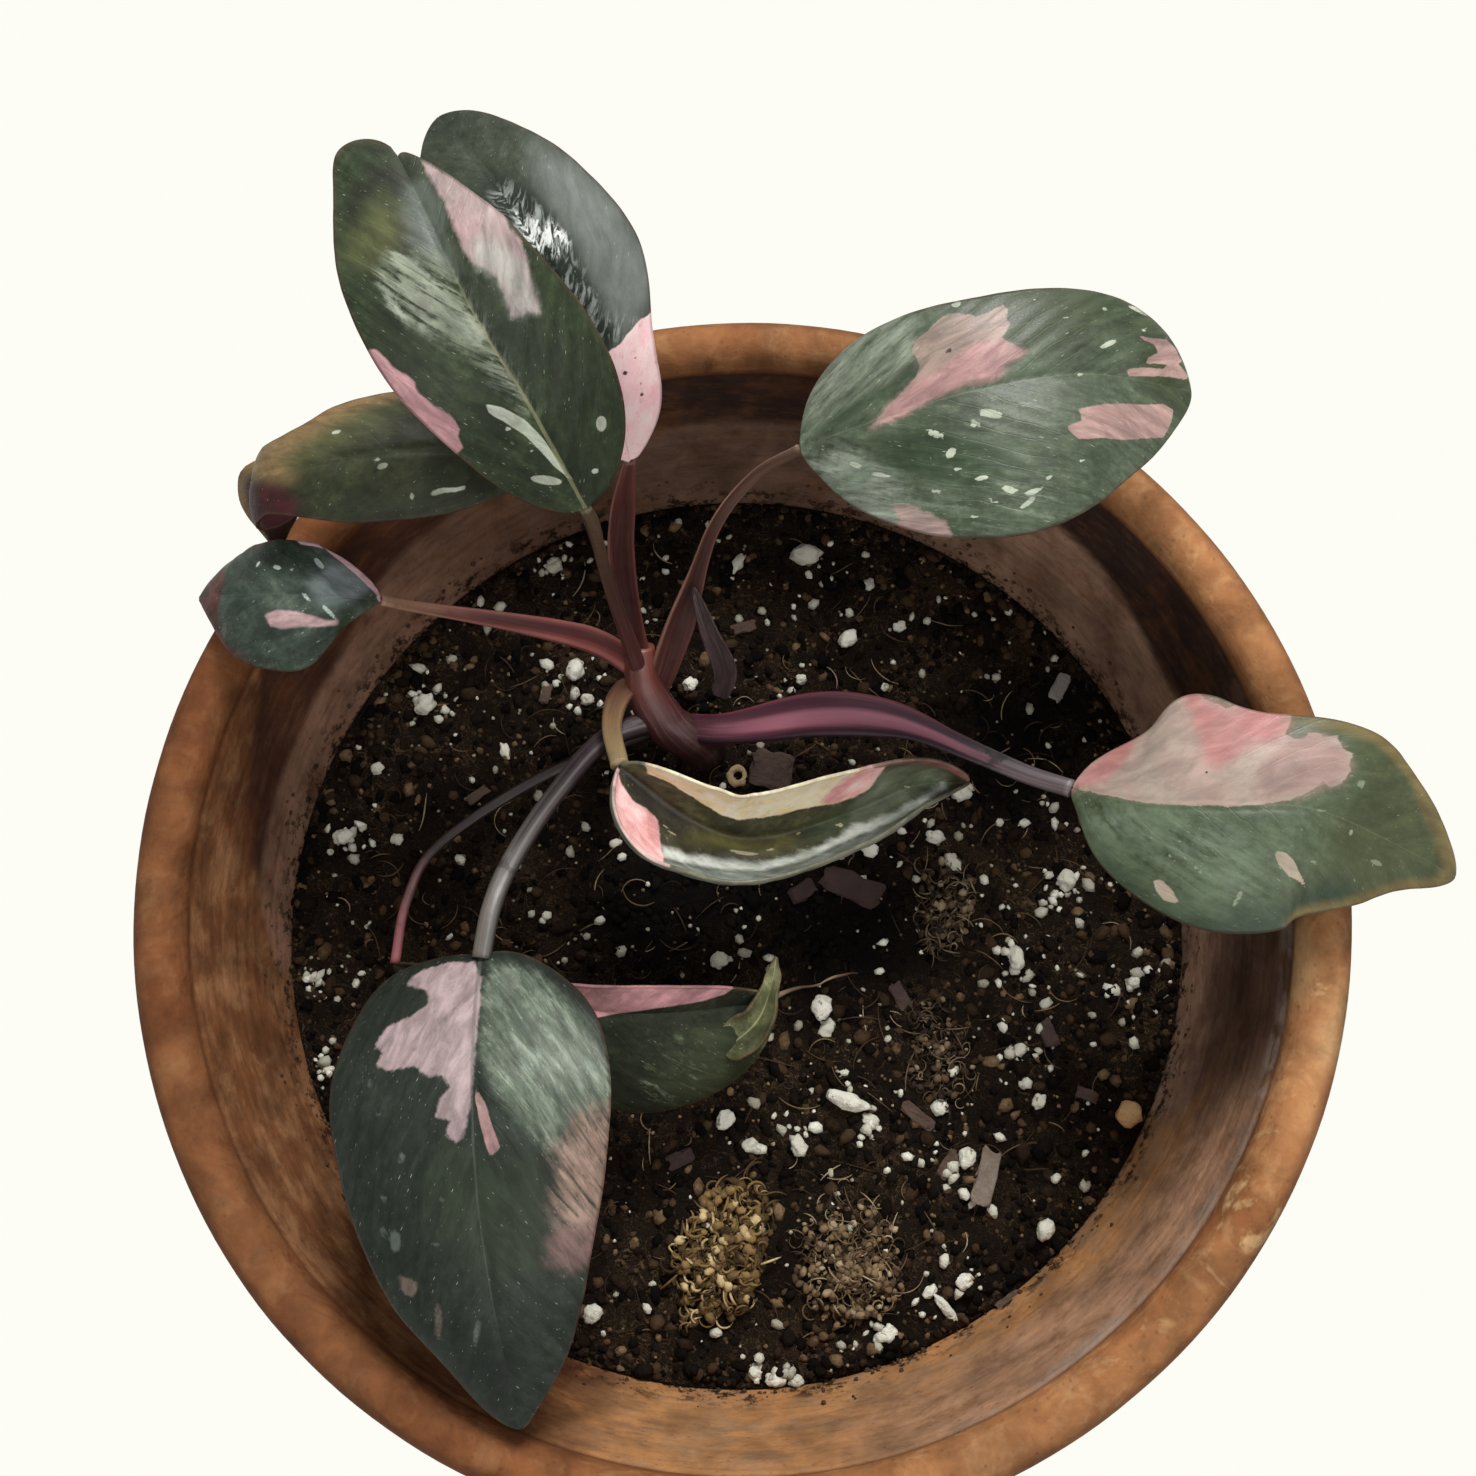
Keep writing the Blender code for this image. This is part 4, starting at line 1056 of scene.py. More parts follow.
leaves["leaf_far_left"] = dict(
    midrib=[(-23.7, 60.5, 168), (-33.1, 61.4, 176), (-46.5, 59.9, 180), (-59.1, 57.6, 181),
            (-68.3, 56.9, 178), (-70.3, 56.5, 169), (-70.5, 52.4, 160.5)],
    left=[2.7, 6, 9.5, 9.4, 5.8, 6.6, 2.6], right=[3, 7.6, 10.8, 10, 5.4, 4.6, 1.4], fold=(0, 0),
    curl=(-30, -30), wave=0.3, slot="leaf_olive", crop=(190, 380, 3.015), light=1.05,
    base=[(34, 38, 24), (50, 55, 36), (76, 80, 50)], slant=0.8, midribTone=(90, 92, 60), midribShare=0.1,
    midribHalf=0.02, rough=0.5, spec=0.2, coat=0.02, under=[(98, 42, 46), (72, 32, 36)],
    rims=[dict(tone=(122, 98, 66), width=2.4, span=(1.4, 2.4), side=1, share=0.9)],
    patches=[
        dict(tones=((96, 94, 60), (80, 82, 52)), soft=4, jag=1.5, share=0.85,  # olive shoulder
             outlines=[[(600, -10), (640, 60), (560, 140), (440, 200), (340, 250), (280, 320), (160, 320),
                 (110, 290), (250, 180), (430, 70)]]),
        dict(tones=((128, 106, 74), (112, 94, 62)), soft=2, jag=1.2,  # brown edge
             outlines=[[(600, -30), (600, 50), (520, 88), (430, 130), (335, 190), (285, 235), (310, 300),
                 (240, 325), (100, 300), (60, 280), (180, 190), (350, 60), (500, -20)]]),
        dict(tones=((34, 38, 26), (42, 47, 32)), soft=3, jag=2, share=0.8,  # dark front
             outlines=[[(450, 430), (560, 400), (640, 330), (760, 250), (950, 330), (900, 420),
                 (700, 470), (520, 480)]]),
        dict(tones=((84, 38, 42), (60, 30, 32)), light=1.9, soft=1.6, jag=1,  # burgundy tip
             outlines=[[(90, 300), (130, 302), (200, 308), (250, 305), (300, 325), (330, 375), (330, 420),
                 (330, 560), (200, 560), (120, 460), (80, 360)]]),
        dict(tones=((170, 178, 162), (150, 158, 142)), soft=0.1, jag=0.4,  # pale flecks
             outlines=[[(722, 348), (735, 330), (770, 325), (800, 325), (830, 318), (828, 330),
                 (800, 338), (770, 340), (730, 350)]],
             spots=[(670, 350, 8, 12, 20), (580, 262, 18, 9, -20), (442, 158, 18, 6, -15),
                (565, 243, 14, 5, -10)]),
    ])

leaves["leaf_small_left"] = dict(
    midrib=[(-52.4, 42, 166), (-60, 41.2, 171), (-68.6, 41.3, 171.5), (-76.4, 42.6, 167), (-81.5, 44, 161)],
    left=[1.2, 4.2, 10.6, 11, 8.6, 3.4, 1], right=[4, 8, 9.8, 10.4, 10.3, 9.4, 5.8], fold=(0, 0),
    curl=(-40, -40), reach=(0, 5), wave=0.4, slot="leaf_dark", crop=(190, 380, 3.015), light=0.82,
    base=[(36, 44, 38), (54, 64, 56), (84, 92, 82)], slant=0.9, midribTone=(100, 108, 98),
    midribShare=0.1, midribHalf=0.015, rough=0.6, spec=0.12, coat=0, flecks=1.5,
    rims=[dict(tone=(74, 44, 40), width=1.6, span=(1.8, 2.3), share=0.85)],
    patches=[
        dict(tones=((116, 124, 126), (92, 104, 102)), soft=1.8, jag=1.5, share=0.85,  # painted blue-grey sheen
             outlines=[[(400, 560), (480, 560), (560, 640), (500, 670), (440, 690), (390, 680),
                 (360, 620)]]),
        dict(tones=((84, 48, 44), (62, 38, 34)), light=0.9, soft=1.1, jag=0.8,  # burgundy rim
             outlines=[[(0, 670), (40, 600), (90, 575), (105, 590), (98, 640), (92, 700), (100, 760),
                 (120, 800), (60, 760), (20, 700)]]),
        dict(tones=((212, 176, 184), (192, 152, 162)), soft=0.14, jag=0.4,  # pink edge
             outlines=[[(355, 480), (440, 508), (500, 543), (550, 588), (585, 640), (600, 670),
                 (560, 650), (520, 612), (465, 562), (415, 522), (370, 498)],
                 [(300, 480), (360, 480), (400, 515), (330, 500)]]),
        dict(tones=((178, 142, 148), (186, 158, 158)), light=1, soft=0.25, jag=0.5,  # streak
             outlines=[[(230, 710), (260, 695), (320, 698), (370, 712), (445, 722), (447, 738),
                 (380, 744), (330, 744), (280, 750), (245, 742)]]),
        dict(tones=((190, 206, 198), (170, 188, 180)), soft=0.08, jag=0.25, share=0.8,  # light dashes
             spots=[(388, 556, 8, 22, -32), (350, 655, 6, 20, -35), (418, 700, 6, 30, -45),
                (262, 568, 14, 7, 20), (205, 560, 5, 8, 0), (305, 575, 5, 5, 0)]),
        dict(tones=((34, 42, 30), (44, 52, 36)), soft=0.7, jag=1, share=0.8,  # dark foot
             outlines=[[(450, 690), (500, 668), (590, 650), (560, 670), (500, 690), (470, 760),
                 (440, 780), (440, 740)]]),
    ])

leaves["leaf_upper_right"] = dict(
    midrib=[(10.7, 61.7, 174), (21.8, 62.5, 182), (35.5, 64.9, 186), (51, 67.8, 184), (66.5, 68.4, 176)],
    left=[8, 12.5, 14, 14, 13.5, 12, 7.5], right=[4.5, 12, 19, 21.5, 18.5, 12.5, 5], fold=(6, 6),
    curl=(-18, -18), wave=0.5, slot="leaf_green", crop=(790, 280, 2.369), light=1.12,
    base=[(50, 60, 43), (76, 87, 69), (106, 116, 98)], slant=1.5, midribTone=(112, 124, 100),
    midribShare=0.35, midribHalf=0.022, rough=0.42, spec=0.28, coat=0.06, comb=(4.2, 3), ribs=0.03,
    flecks=1.6,
    patches=[
        dict(tones=((58, 66, 42), (54, 66, 44)), soft=2.5, jag=2, share=0.9,  # dark olive top
             outlines=[[(420, 40), (520, 15), (700, 15), (820, 60), (900, 140), (930, 260), (900, 300),
                 (820, 250), (820, 150), (740, 100), (640, 140), (560, 140), (520, 90)]]),
        # light left
        dict(tones=((156, 164, 150), (132, 142, 124)), soft=2, jag=2.5, brush=(0.3, 0.66), share=0.9,
             outlines=[[(30, 290), (60, 220), (120, 160), (200, 110), (290, 80), (300, 130), (300, 200),
                 (240, 260), (160, 310), (60, 360), (30, 350)]]),
        # light foot
        dict(tones=((146, 154, 142), (126, 138, 122)), soft=2, jag=2.5, brush=(0.34, 0.6), share=0.9,
             outlines=[[(30, 410), (110, 400), (190, 420), (260, 470), (330, 560), (380, 620), (250, 600),
                 (140, 540), (70, 470)]]),
        dict(tones=((50, 66, 42), (60, 76, 52)), soft=1.4, jag=1.5, share=0.85,  # dark stripe
             outlines=[[(60, 355), (150, 292), (240, 242), (292, 190), (302, 220), (232, 282), (170, 322),
                 (90, 366)]]),
        dict(tones=((44, 60, 38), (56, 72, 50)), soft=2, jag=2.5, share=0.9,  # dark heart
             outlines=[[(200, 380), (300, 350), (420, 370), (520, 400), (540, 460), (460, 500),
                 (360, 490), (260, 450)]]),
        dict(tones=((60, 66, 42), (52, 60, 40)), soft=1.2, jag=1, share=0.85,  # shaded tip
             outlines=[[(900, 120), (960, 220), (970, 320), (900, 420), (860, 440), (920, 340),
                 (935, 260), (915, 190)]]),
        # marbled strokes
        dict(tones=((150, 162, 146), (128, 142, 122)), soft=1.5, jag=2.5, brush=(0.5, 0.7), share=0.6,
             outlines=[[(300, 470), (420, 450), (560, 470), (660, 440), (700, 480), (640, 560),
                 (520, 600), (400, 600), (330, 560)],
                 [(360, 300), (520, 270), (640, 250), (620, 330), (520, 360), (400, 340)]]),
        dict(tones=((186, 160, 150), (176, 155, 143)), light=1.75, soft=0.12, jag=0.8,  # pink blot
             outlines=[[(195, 345), (230, 305), (270, 265), (300, 230), (310, 205), (290, 170),
                 (300, 145), (330, 120), (360, 90), (400, 80), (440, 90), (470, 80), (505, 62), (515, 80),
                 (510, 100), (525, 105), (510, 125), (500, 140), (530, 155), (555, 170), (540, 185),
                 (510, 195), (505, 215), (470, 235), (430, 222), (420, 240), (385, 240), (350, 270),
                 (310, 300), (260, 325), (215, 345)]]),
        dict(tones=((212, 166, 164), (204, 157, 155)), light=1.6, soft=0.9, jag=1.5,  # rosy half of the blot
             outlines=[[(195, 350), (235, 305), (300, 240), (370, 205), (420, 160), (450, 150),
                 (500, 148), (560, 170), (510, 200), (500, 225), (470, 240), (420, 245), (350, 275),
                 (260, 330)]]),
        dict(tones=((200, 164, 158), (190, 155, 149)), light=1.65, soft=0.1, jag=0.5,  # pink bars
             outlines=[[(655, 350), (690, 335), (680, 310), (720, 300), (800, 295), (880, 295),
                 (905, 310), (900, 340), (880, 375), (820, 378), (740, 378), (680, 380), (660, 360)],
                 [(820, 130), (850, 140), (890, 145), (908, 165), (925, 195), (910, 207), (870, 200),
                 (840, 200), (845, 185), (870, 175), (860, 155), (835, 145)],
                 [(795, 212), (830, 209), (880, 212), (940, 222), (935, 236), (870, 229), (800, 228)]]),
        dict(tones=((176, 148, 142), (160, 140, 132)), soft=0.35, jag=1.4,  # pink foot
             outlines=[[(240, 600), (235, 575), (262, 560), (245, 540), (285, 532), (330, 552),
                 (370, 572), (388, 600), (380, 640), (300, 640)]]),
        dict(tones=((192, 198, 180), (172, 180, 162)), soft=0.06, jag=0.3, share=0.85,  # pale touches
             spots=[(752, 154, 22, 6, -25), (650, 92, 7, 4, 0), (685, 226, 10, 5, -20),
                (345, 366, 26, 8, 20), (382, 410, 10, 16, 30), (520, 498, 24, 8, 15),
                (575, 503, 24, 7, -20), (475, 318, 32, 10, 10), (835, 122, 6, 3, 0), (742, 72, 8, 4, 0),
                (575, 52, 6, 3, 0), (215, 462, 26, 5, 10), (438, 342, 16, 8, 25), (395, 60, 12, 8, -20),
                (822, 75, 22, 5, 10), (400, 450, 14, 5, 10), (455, 470, 18, 6, -10),
                (480, 525, 16, 5, 20), (560, 532, 22, 6, -30), (612, 470, 14, 5, -35),
                (330, 425, 10, 5, 0), (350, 502, 20, 5, 15), (432, 560, 16, 5, 10), (690, 430, 10, 4, 0),
                (600, 575, 12, 4, -20), (160, 440, 16, 6, 20)]),
        dict(tones=((70, 48, 40), (60, 44, 38)), soft=0.08, jag=0.1,  # hole
             spots=[(376, 170, 7, 9, 30)]),
    ])

leaves["leaf_right"] = dict(
    midrib=[(50.1, 13.7, 159), (58.4, 10.3, 166), (68.6, 9.2, 170), (80.7, 8.5, 171), (91.6, 4.4, 168.5),
            (102.6, 0, 162.5)],
    left=[6, 11.3, 16.3, 13.3, 13.5, 9, 4], right=[3.5, 10.5, 17, 17.5, 13.5, 6, 2.5], fold=(4, 4),
    curl=(-15, -25), wave=0.4, slot="leaf_green", crop=(1050, 670, 2.369), light=1.24,
    base=[(54, 64, 42), (84, 98, 74), (106, 120, 98)], slant=1, midribTone=(140, 132, 112),
    midribShare=0.25, midribHalf=0.022, rough=0.42, spec=0.28, coat=0.06, comb=(3.6, 2.4), ribs=0.03,
    dabs=0.22,
    rims=[dict(tone=(122, 106, 66), width=1.9, span=(2.9, 3.7), share=0.85)],
    patches=[
        dict(tones=((66, 72, 46), (78, 84, 56)), soft=4, jag=2, share=0.85,  # dark tip half
             outlines=[[(600, 90), (720, 110), (840, 190), (900, 330), (960, 470), (900, 520), (700, 540),
                 (560, 560), (640, 440), (660, 330), (720, 280), (700, 180)]]),
        # light fan
        dict(tones=((122, 136, 116), (106, 122, 100)), soft=3, jag=2.5, brush=(0.35, 0.6), share=0.8,
             outlines=[[(70, 330), (160, 330), (300, 350), (420, 380), (520, 430), (480, 520), (380, 520),
                 (250, 450), (150, 400), (80, 370)]]),
        dict(tones=((40, 58, 44), (52, 68, 52)), soft=2.8, jag=1.8, share=0.85,  # shaded front
             outlines=[[(50, 350), (90, 425), (160, 475), (260, 548), (380, 582), (500, 572), (600, 525),
                 (680, 500), (740, 540), (640, 620), (480, 680), (200, 640), (60, 520)]]),
        dict(tones=((118, 102, 64), (98, 86, 54)), soft=1.1, jag=0.9, share=0.9,  # olive margin
             outlines=[[(590, 80), (700, 128), (782, 178), (848, 250), (868, 315), (908, 405), (928, 465),
                 (915, 488), (870, 506), (740, 518), (700, 560), (980, 560), (1000, 440), (900, 200),
                 (760, 90)]]),
        dict(tones=((186, 160, 149), (178, 161, 149)), light=1.28, soft=0.12, jag=0.9,  # pink half
             outlines=[[(20, 240), (60, 200), (100, 178), (150, 140), (200, 108), (250, 75), (290, 48),
                 (320, 30), (350, 40), (362, 70), (420, 92), (480, 98), (520, 90), (568, 95), (570, 115),
                 (558, 155), (580, 165), (605, 165), (610, 150), (640, 150), (645, 160), (680, 155),
                 (690, 185), (715, 200), (705, 225), (712, 240), (690, 270), (660, 280), (645, 265),
                 (620, 285), (600, 295), (560, 310), (480, 322), (380, 322), (250, 318), (150, 300),
                 (70, 285), (40, 262)]]),
        dict(tones=((212, 140, 138), (214, 152, 148)), light=1.7, soft=1.4, jag=1,  # deep pink
             outlines=[[(300, 30), (345, 40), (365, 70), (420, 92), (500, 98), (570, 95), (560, 140),
                 (530, 165), (490, 170), (440, 210), (400, 235), (370, 215), (355, 160), (335, 100)],
                 [(20, 250), (40, 215), (100, 170), (150, 130), (215, 95), (212, 150), (180, 220),
                 (130, 266), (60, 280), (30, 275)]]),
        dict(tones=((168, 136, 130), (158, 130, 124)), soft=1.2, jag=1.2, share=0.8,  # mauve end
             outlines=[[(500, 220), (560, 170), (640, 150), (690, 185), (712, 230), (690, 270),
                 (600, 300), (520, 310), (480, 280)]]),
        dict(tones=((184, 164, 150), (172, 160, 142)), soft=0.1, jag=0.35,  # pale spots
             outlines=[[(245, 498), (265, 495), (290, 520), (305, 548), (295, 553), (270, 545),
                 (250, 520)],
                 [(528, 428), (555, 432), (575, 450), (588, 478), (603, 505), (598, 510), (565, 488),
                 (540, 460)]]),
        dict(tones=((150, 162, 140), (136, 148, 124)), soft=0.06, jag=0.2, share=0.75,  # pale dashes
             spots=[(625, 456, 12, 5, 15), (770, 456, 16, 6, 25), (308, 408, 10, 4, 10),
                (735, 270, 8, 14, 25), (710, 385, 6, 9, 20), (645, 333, 18, 3, 5), (486, 588, 7, 4, 0),
                (445, 540, 6, 24, 20), (348, 470, 22, 4, 45), (285, 440, 24, 4, 50)]),
        dict(tones=((80, 56, 50), (70, 50, 44)), soft=0.06, jag=0.05,  # pinhole
             spots=[(372, 242, 5, 4, 0)]),
    ])

leaves["leaf_young"] = dict(
    midrib=[(-18.3, 20.2, 147), (-7.6, 12.7, 142), (2.6, 9.9, 139.5), (17.7, 13.8, 140.5), (28, 17.9, 141),
            (36.7, 18.9, 139)],
    left=[5.5, 10.5, 12, 12, 11, 7, 3], right=[11, 16, 14.5, 13, 11, 7, 2.5], fold=(50, -10),
    curl=(30, 115), wave=0.5, slot="leaf_young", crop=(590, 730, 3.659), light=0.72,
    base=[(38, 36, 24), (58, 56, 38), (92, 92, 60)], slant=0.7, midribTone=(96, 92, 62), midribShare=0,
    midribHalf=0.02, rough=0.4, spec=0.3, coat=0.1, comb=(4, 2), margin=(112, 110, 96),
    under=[(128, 132, 118), (96, 100, 88)],
    patches=[
        dict(tones=((30, 26, 20), (44, 38, 28)), soft=2, jag=1.5, share=0.7,  # dark hollow: painted shade inside the fold
             outlines=[[(100, 130), (200, 170), (330, 280), (420, 340), (560, 350), (620, 390),
                 (450, 400), (330, 370), (240, 300), (130, 230)]]),
        dict(tones=((74, 88, 56), (58, 70, 44)), soft=2, jag=1.5, share=0.75,  # green half
             outlines=[[(820, 330), (960, 270), (1080, 180), (1250, 150), (1290, 190), (1180, 270),
                 (1040, 330), (900, 390), (760, 420)]]),
        dict(tones=((106, 102, 46), (84, 80, 42)), soft=1.6, jag=1.5, share=0.85,  # olive floor
             outlines=[[(350, 400), (450, 430), (560, 450), (660, 450), (760, 420), (760, 380),
                 (620, 400), (480, 380), (380, 360)]]),
        dict(tones=((104, 110, 94), (80, 88, 68)), soft=1.5, jag=1.5, share=0.8,  # greyer point
             outlines=[[(1060, 140), (1180, 120), (1290, 140), (1310, 180), (1200, 250), (1080, 300),
                 (960, 330), (960, 270), (1020, 210)]]),
        dict(tones=((196, 181, 155), (184, 168, 140)), light=0.53, soft=0.25, jag=0.9,  # cream fold
             outlines=[[(165, 60), (300, 70), (400, 120), (500, 180), (600, 200), (700, 160), (800, 110),
                 (900, 70), (1000, 45), (1110, 50), (1095, 95), (1060, 150), (1020, 205), (960, 240),
                 (870, 265), (780, 280), (700, 300), (600, 315), (530, 320), (450, 285), (380, 240),
                 (300, 190), (215, 155), (195, 120)]]),
        dict(tones=((206, 160, 156), (186, 134, 134)), light=0.62, soft=0.5, jag=1.2,  # rosy end of the fold
             outlines=[[(845, 255), (900, 190), (960, 150), (1040, 100), (1110, 70), (1095, 95),
                 (1060, 150), (1020, 205), (960, 240), (870, 265)]]),
        dict(tones=((122, 82, 76), (96, 56, 54)), light=0.62, soft=0.3, jag=0.5,  # dark red hem
             shares=[[(0.76, -1.12), (0.76, -0.93), (0.84, -0.84), (0.93, -0.7), (1, -0.4),
                 (1.02, -1.12)]]),
        dict(tones=((178, 182, 176), (136, 144, 136)), light=0.64, soft=0.7, jag=2.2,  # white hem
             outlines=[[(258, 425), (330, 448), (420, 462), (520, 478), (620, 488), (700, 470),
                 (800, 440), (900, 395), (960, 345), (1040, 330), (1120, 300), (1210, 250), (1290, 190),
                 (1300, 215), (1210, 280), (1110, 335), (1000, 380), (900, 425), (800, 472), (700, 505),
                 (620, 520), (520, 515), (400, 500), (270, 470)]]),
        dict(tones=((106, 112, 108), (66, 72, 66)), light=0.6, soft=0.9, jag=1.8,  # grey outer face
             outlines=[[(258, 475), (400, 505), (520, 520), (620, 525), (700, 510), (800, 478),
                 (900, 430), (1000, 385), (1110, 340), (1210, 290), (1310, 230), (1330, 330), (1000, 520),
                 (700, 640), (500, 640), (300, 580), (240, 520)]]),
        dict(tones=((212, 170, 168), (194, 144, 144)), light=0.74, soft=0.2, jag=0.6,  # pink flap
             shares=[[(-0.02, 0.3), (0.03, 0.22), (0.077, 0.22), (0.12, 0.18), (0.16, 0.19),
                 (0.186, 0.35), (0.21, 0.57), (0.215, 1.12), (-0.02, 1.12)]]),
        # gold and white touches
        dict(tones=((196, 190, 160), (176, 168, 130)), light=0.7, soft=0.05, jag=0.2, share=0.8,
             spots=[(765, 378, 12, 7, -30), (915, 348, 18, 8, 10), (290, 370, 34, 5, 40),
                (1160, 205, 16, 5, 15), (560, 452, 60, 7, 3), (660, 438, 20, 6, -10)]),
    ])

leaves["leaf_front_left"] = dict(
    midrib=[(-36.3, -11.2, 162), (-35.8, -20.1, 168), (-34.9, -31.1, 172), (-33.5, -44.2, 173),
            (-31.4, -58.5, 170), (-28.7, -74.6, 162)],
    left=[8, 16, 19, 17.5, 13.5, 9, 3], right=[13, 18.5, 21.5, 19, 15, 8.5, 4], fold=(4, 4),
    curl=(-25, -30), lobe=(4, 4), wave=0.5, slot="leaf_dark", crop=(320, 930, 1.843), light=1.5,
    base=[(27, 34, 28), (40, 48, 40), (60, 69, 57)], slant=1.15, midribTone=(96, 104, 96),
    midribShare=0.45, midribHalf=0.03, rough=0.45, spec=0.22, coat=0.04, comb=(5.2, 2.6),
    midribSpan=(4.6, 6.2), ribs=0.04, flecks=1.2,
    patches=[
        dict(tones=((58, 68, 50), (50, 60, 44)), soft=4, jag=2, share=0.7,  # green middle
             outlines=[[(230, 380), (330, 420), (420, 420), (430, 560), (400, 640), (300, 640),
                 (220, 560), (200, 460)]]),
        dict(tones=((108, 122, 104), (90, 104, 88)), soft=2, jag=2.5, share=0.85,  # light wash
             outlines=[[(305, 110), (330, 60), (400, 60), (470, 130), (520, 210), (530, 290), (500, 340),
                 (460, 340), (430, 400), (380, 360), (320, 290), (300, 220)]]),
        # brushed marbling
        dict(tones=((172, 182, 166), (144, 156, 138)), light=1.25, soft=1.2, jag=2, brush=(0.42, 0.7),
             share=0.9,
             outlines=[[(305, 110), (330, 55), (390, 50), (450, 110), (500, 180), (530, 260), (525, 310),
                 (480, 330), (450, 330), (420, 400), (370, 340), (320, 280), (300, 200)]]),
        # rosy brown margin
        dict(tones=((162, 138, 126), (140, 114, 102)), light=1.2, soft=2.2, jag=2.4, brush=(0.34, 0.56),
             outlines=[[(470, 330), (500, 315), (530, 310), (560, 360), (560, 540), (520, 590),
                 (495, 600), (460, 615), (425, 600), (445, 550), (430, 500), (452, 440), (432, 400),
                 (462, 370)]]),
        dict(tones=((124, 92, 90), (104, 80, 80)), light=1.25, soft=1.4, jag=1.5, share=0.7,  # rosy low
             outlines=[[(425, 560), (500, 535), (512, 590), (465, 625), (425, 612)]]),
        # pale rim strokes
        dict(tones=((190, 160, 146), (150, 130, 116)), soft=0.4, jag=2, brush=(0.52, 0.62),
             outlines=[[(440, 420), (480, 400), (520, 420), (530, 480), (500, 520), (450, 500)]]),
        dict(tones=((170, 150, 152), (156, 138, 138)), light=1.2, soft=0.3, jag=1.3,  # pink blot
             outlines=[[(165, 88), (178, 70), (200, 48), (240, 42), (285, 60), (297, 90), (296, 140),
                 (288, 200), (283, 260), (277, 330), (266, 378), (250, 392), (233, 378), (240, 350),
                 (213, 345), (220, 310), (240, 290), (225, 265), (195, 266), (175, 245), (130, 252),
                 (104, 236), (120, 215), (104, 200), (125, 165), (170, 150), (205, 130), (200, 105)]]),
        dict(tones=((186, 150, 146), (170, 136, 134)), soft=0.1, jag=0.4,  # pink spur
             outlines=[[(288, 288), (305, 318), (320, 365), (333, 400), (315, 418), (304, 390),
                 (295, 350), (286, 310)]]),
        dict(tones=((150, 158, 146), (132, 142, 128)), soft=0.3, jag=1.2, share=0.7,  # pale flares
             outlines=[[(335, 62), (372, 58), (372, 85), (350, 118), (338, 96)]]),
        dict(tones=((112, 122, 114), (96, 106, 98)), soft=0.25, jag=0.4, share=0.75,  # spots
             spots=[(140, 570, 10, 22, 8), (120, 490, 6, 8, 0), (152, 415, 6, 12, 20),
                (215, 578, 5, 6, 0), (290, 740, 5, 26, 8), (225, 495, 4, 7, 0), (36, 300, 4, 4, 0),
                (95, 270, 4, 9, 0), (110, 330, 4, 6, 0), (118, 550, 5, 10, 0)]),
        dict(tones=((132, 108, 100), (150, 138, 124)), soft=0.3, jag=0.8, share=0.6,  # small flares
             spots=[(220, 720, 6, 32, 8), (165, 655, 16, 17, 0), (152, 640, 7, 6, 0)]),
    ])

leaves["leaf_low_front"] = dict(
    midrib=[(-55.3, -9.7, 136), (-42, -13.3, 141), (-27.2, -16.8, 145), (-13.2, -18.1, 146),
            (5.7, -15.8, 141)],
    left=[1, 2, 3, 4.5, 5, 4, 2], right=[3, 7, 11, 14, 16.5, 14, 8], fold=(40, -5), curl=(0, -40),
    wave=0.9, slot="leaf_green", crop=(320, 930, 1.843), light=1,
    base=[(24, 27, 20), (36, 40, 29), (58, 64, 46)], slant=0.9, midribTone=(90, 98, 66), midribShare=0.1,
    midribHalf=0.02, rough=0.55, spec=0.12, coat=0,
    patches=[
        dict(tones=((60, 66, 46), (48, 54, 36)), soft=2, jag=2, share=0.7,  # olive wash
             outlines=[[(650, 200), (740, 160), (840, 150), (850, 220), (800, 280), (700, 310),
                 (600, 280)]]),
        dict(tones=((104, 114, 92), (86, 98, 74)), soft=0.6, jag=1.5, brush=(0.5, 0.62),  # light strokes
             outlines=[[(600, 240), (640, 200), (720, 190), (740, 230), (680, 300), (600, 320)]]),
        dict(tones=((132, 136, 92), (112, 120, 78)), soft=1.2, jag=2.5,  # yellow-green end
             outlines=[[(800, 60), (900, 20), (900, 300), (800, 320), (770, 290), (820, 240), (835, 180),
                 (820, 120)]]),
        dict(tones=((180, 132, 136), (160, 118, 122)), light=0.9, soft=0.15, jag=0.3,  # pink fold
             outlines=[[(300, 60), (450, 88), (560, 88), (640, 95), (720, 100), (765, 106), (745, 116),
                 (700, 130), (620, 142), (520, 160), (440, 170), (300, 170)]]),
    ])


# a place on a blade, its own up direction, the share of the length and the distance from the midrib:
# turn runs from 0 at the base to pi at the tip, across from -1 at the left edge to 1 at the right
def bladePoint(spec, read, total, turn, across):
    side = 0 if across < 0 else 1
    widths = [0, *spec["left" if side == 0 else "right"], 0]
    half = max(between(widths, turn / math.pi), 0.02) * mm
    share = (1 - math.cos(turn)) / 2
    out = abs(across)
    bulge = out ** 1.5 * math.sqrt(max(math.sin(turn), 0)) * mm / total
    along = share + bulge * (spec.get("reach", (0, 0))[side] * share ** 3
                             - spec.get("lobe", (0, 0))[side] * (1 - share) ** 3 * 1.3)
    centre, sideways, upward = crossAt(read, along, Vector((0, 0, 1)))
    sideways *= 1 if side else -1
    fold = math.radians(spec["fold"][side])
    bend = math.radians(spec["curl"][side]) / half
    far = out * half
    if abs(bend) < 1e-3:
        reach, rise = far * math.cos(fold), far * math.sin(fold)
    else:
        reach = (math.sin(fold + bend * far) - math.sin(fold)) / bend
        rise = (math.cos(fold) - math.cos(fold + bend * far)) / bend
    lean = fold + bend * far
    return (centre + sideways * reach + upward * rise, upward * math.cos(lean) - sideways * math.sin(lean),
            along, far)


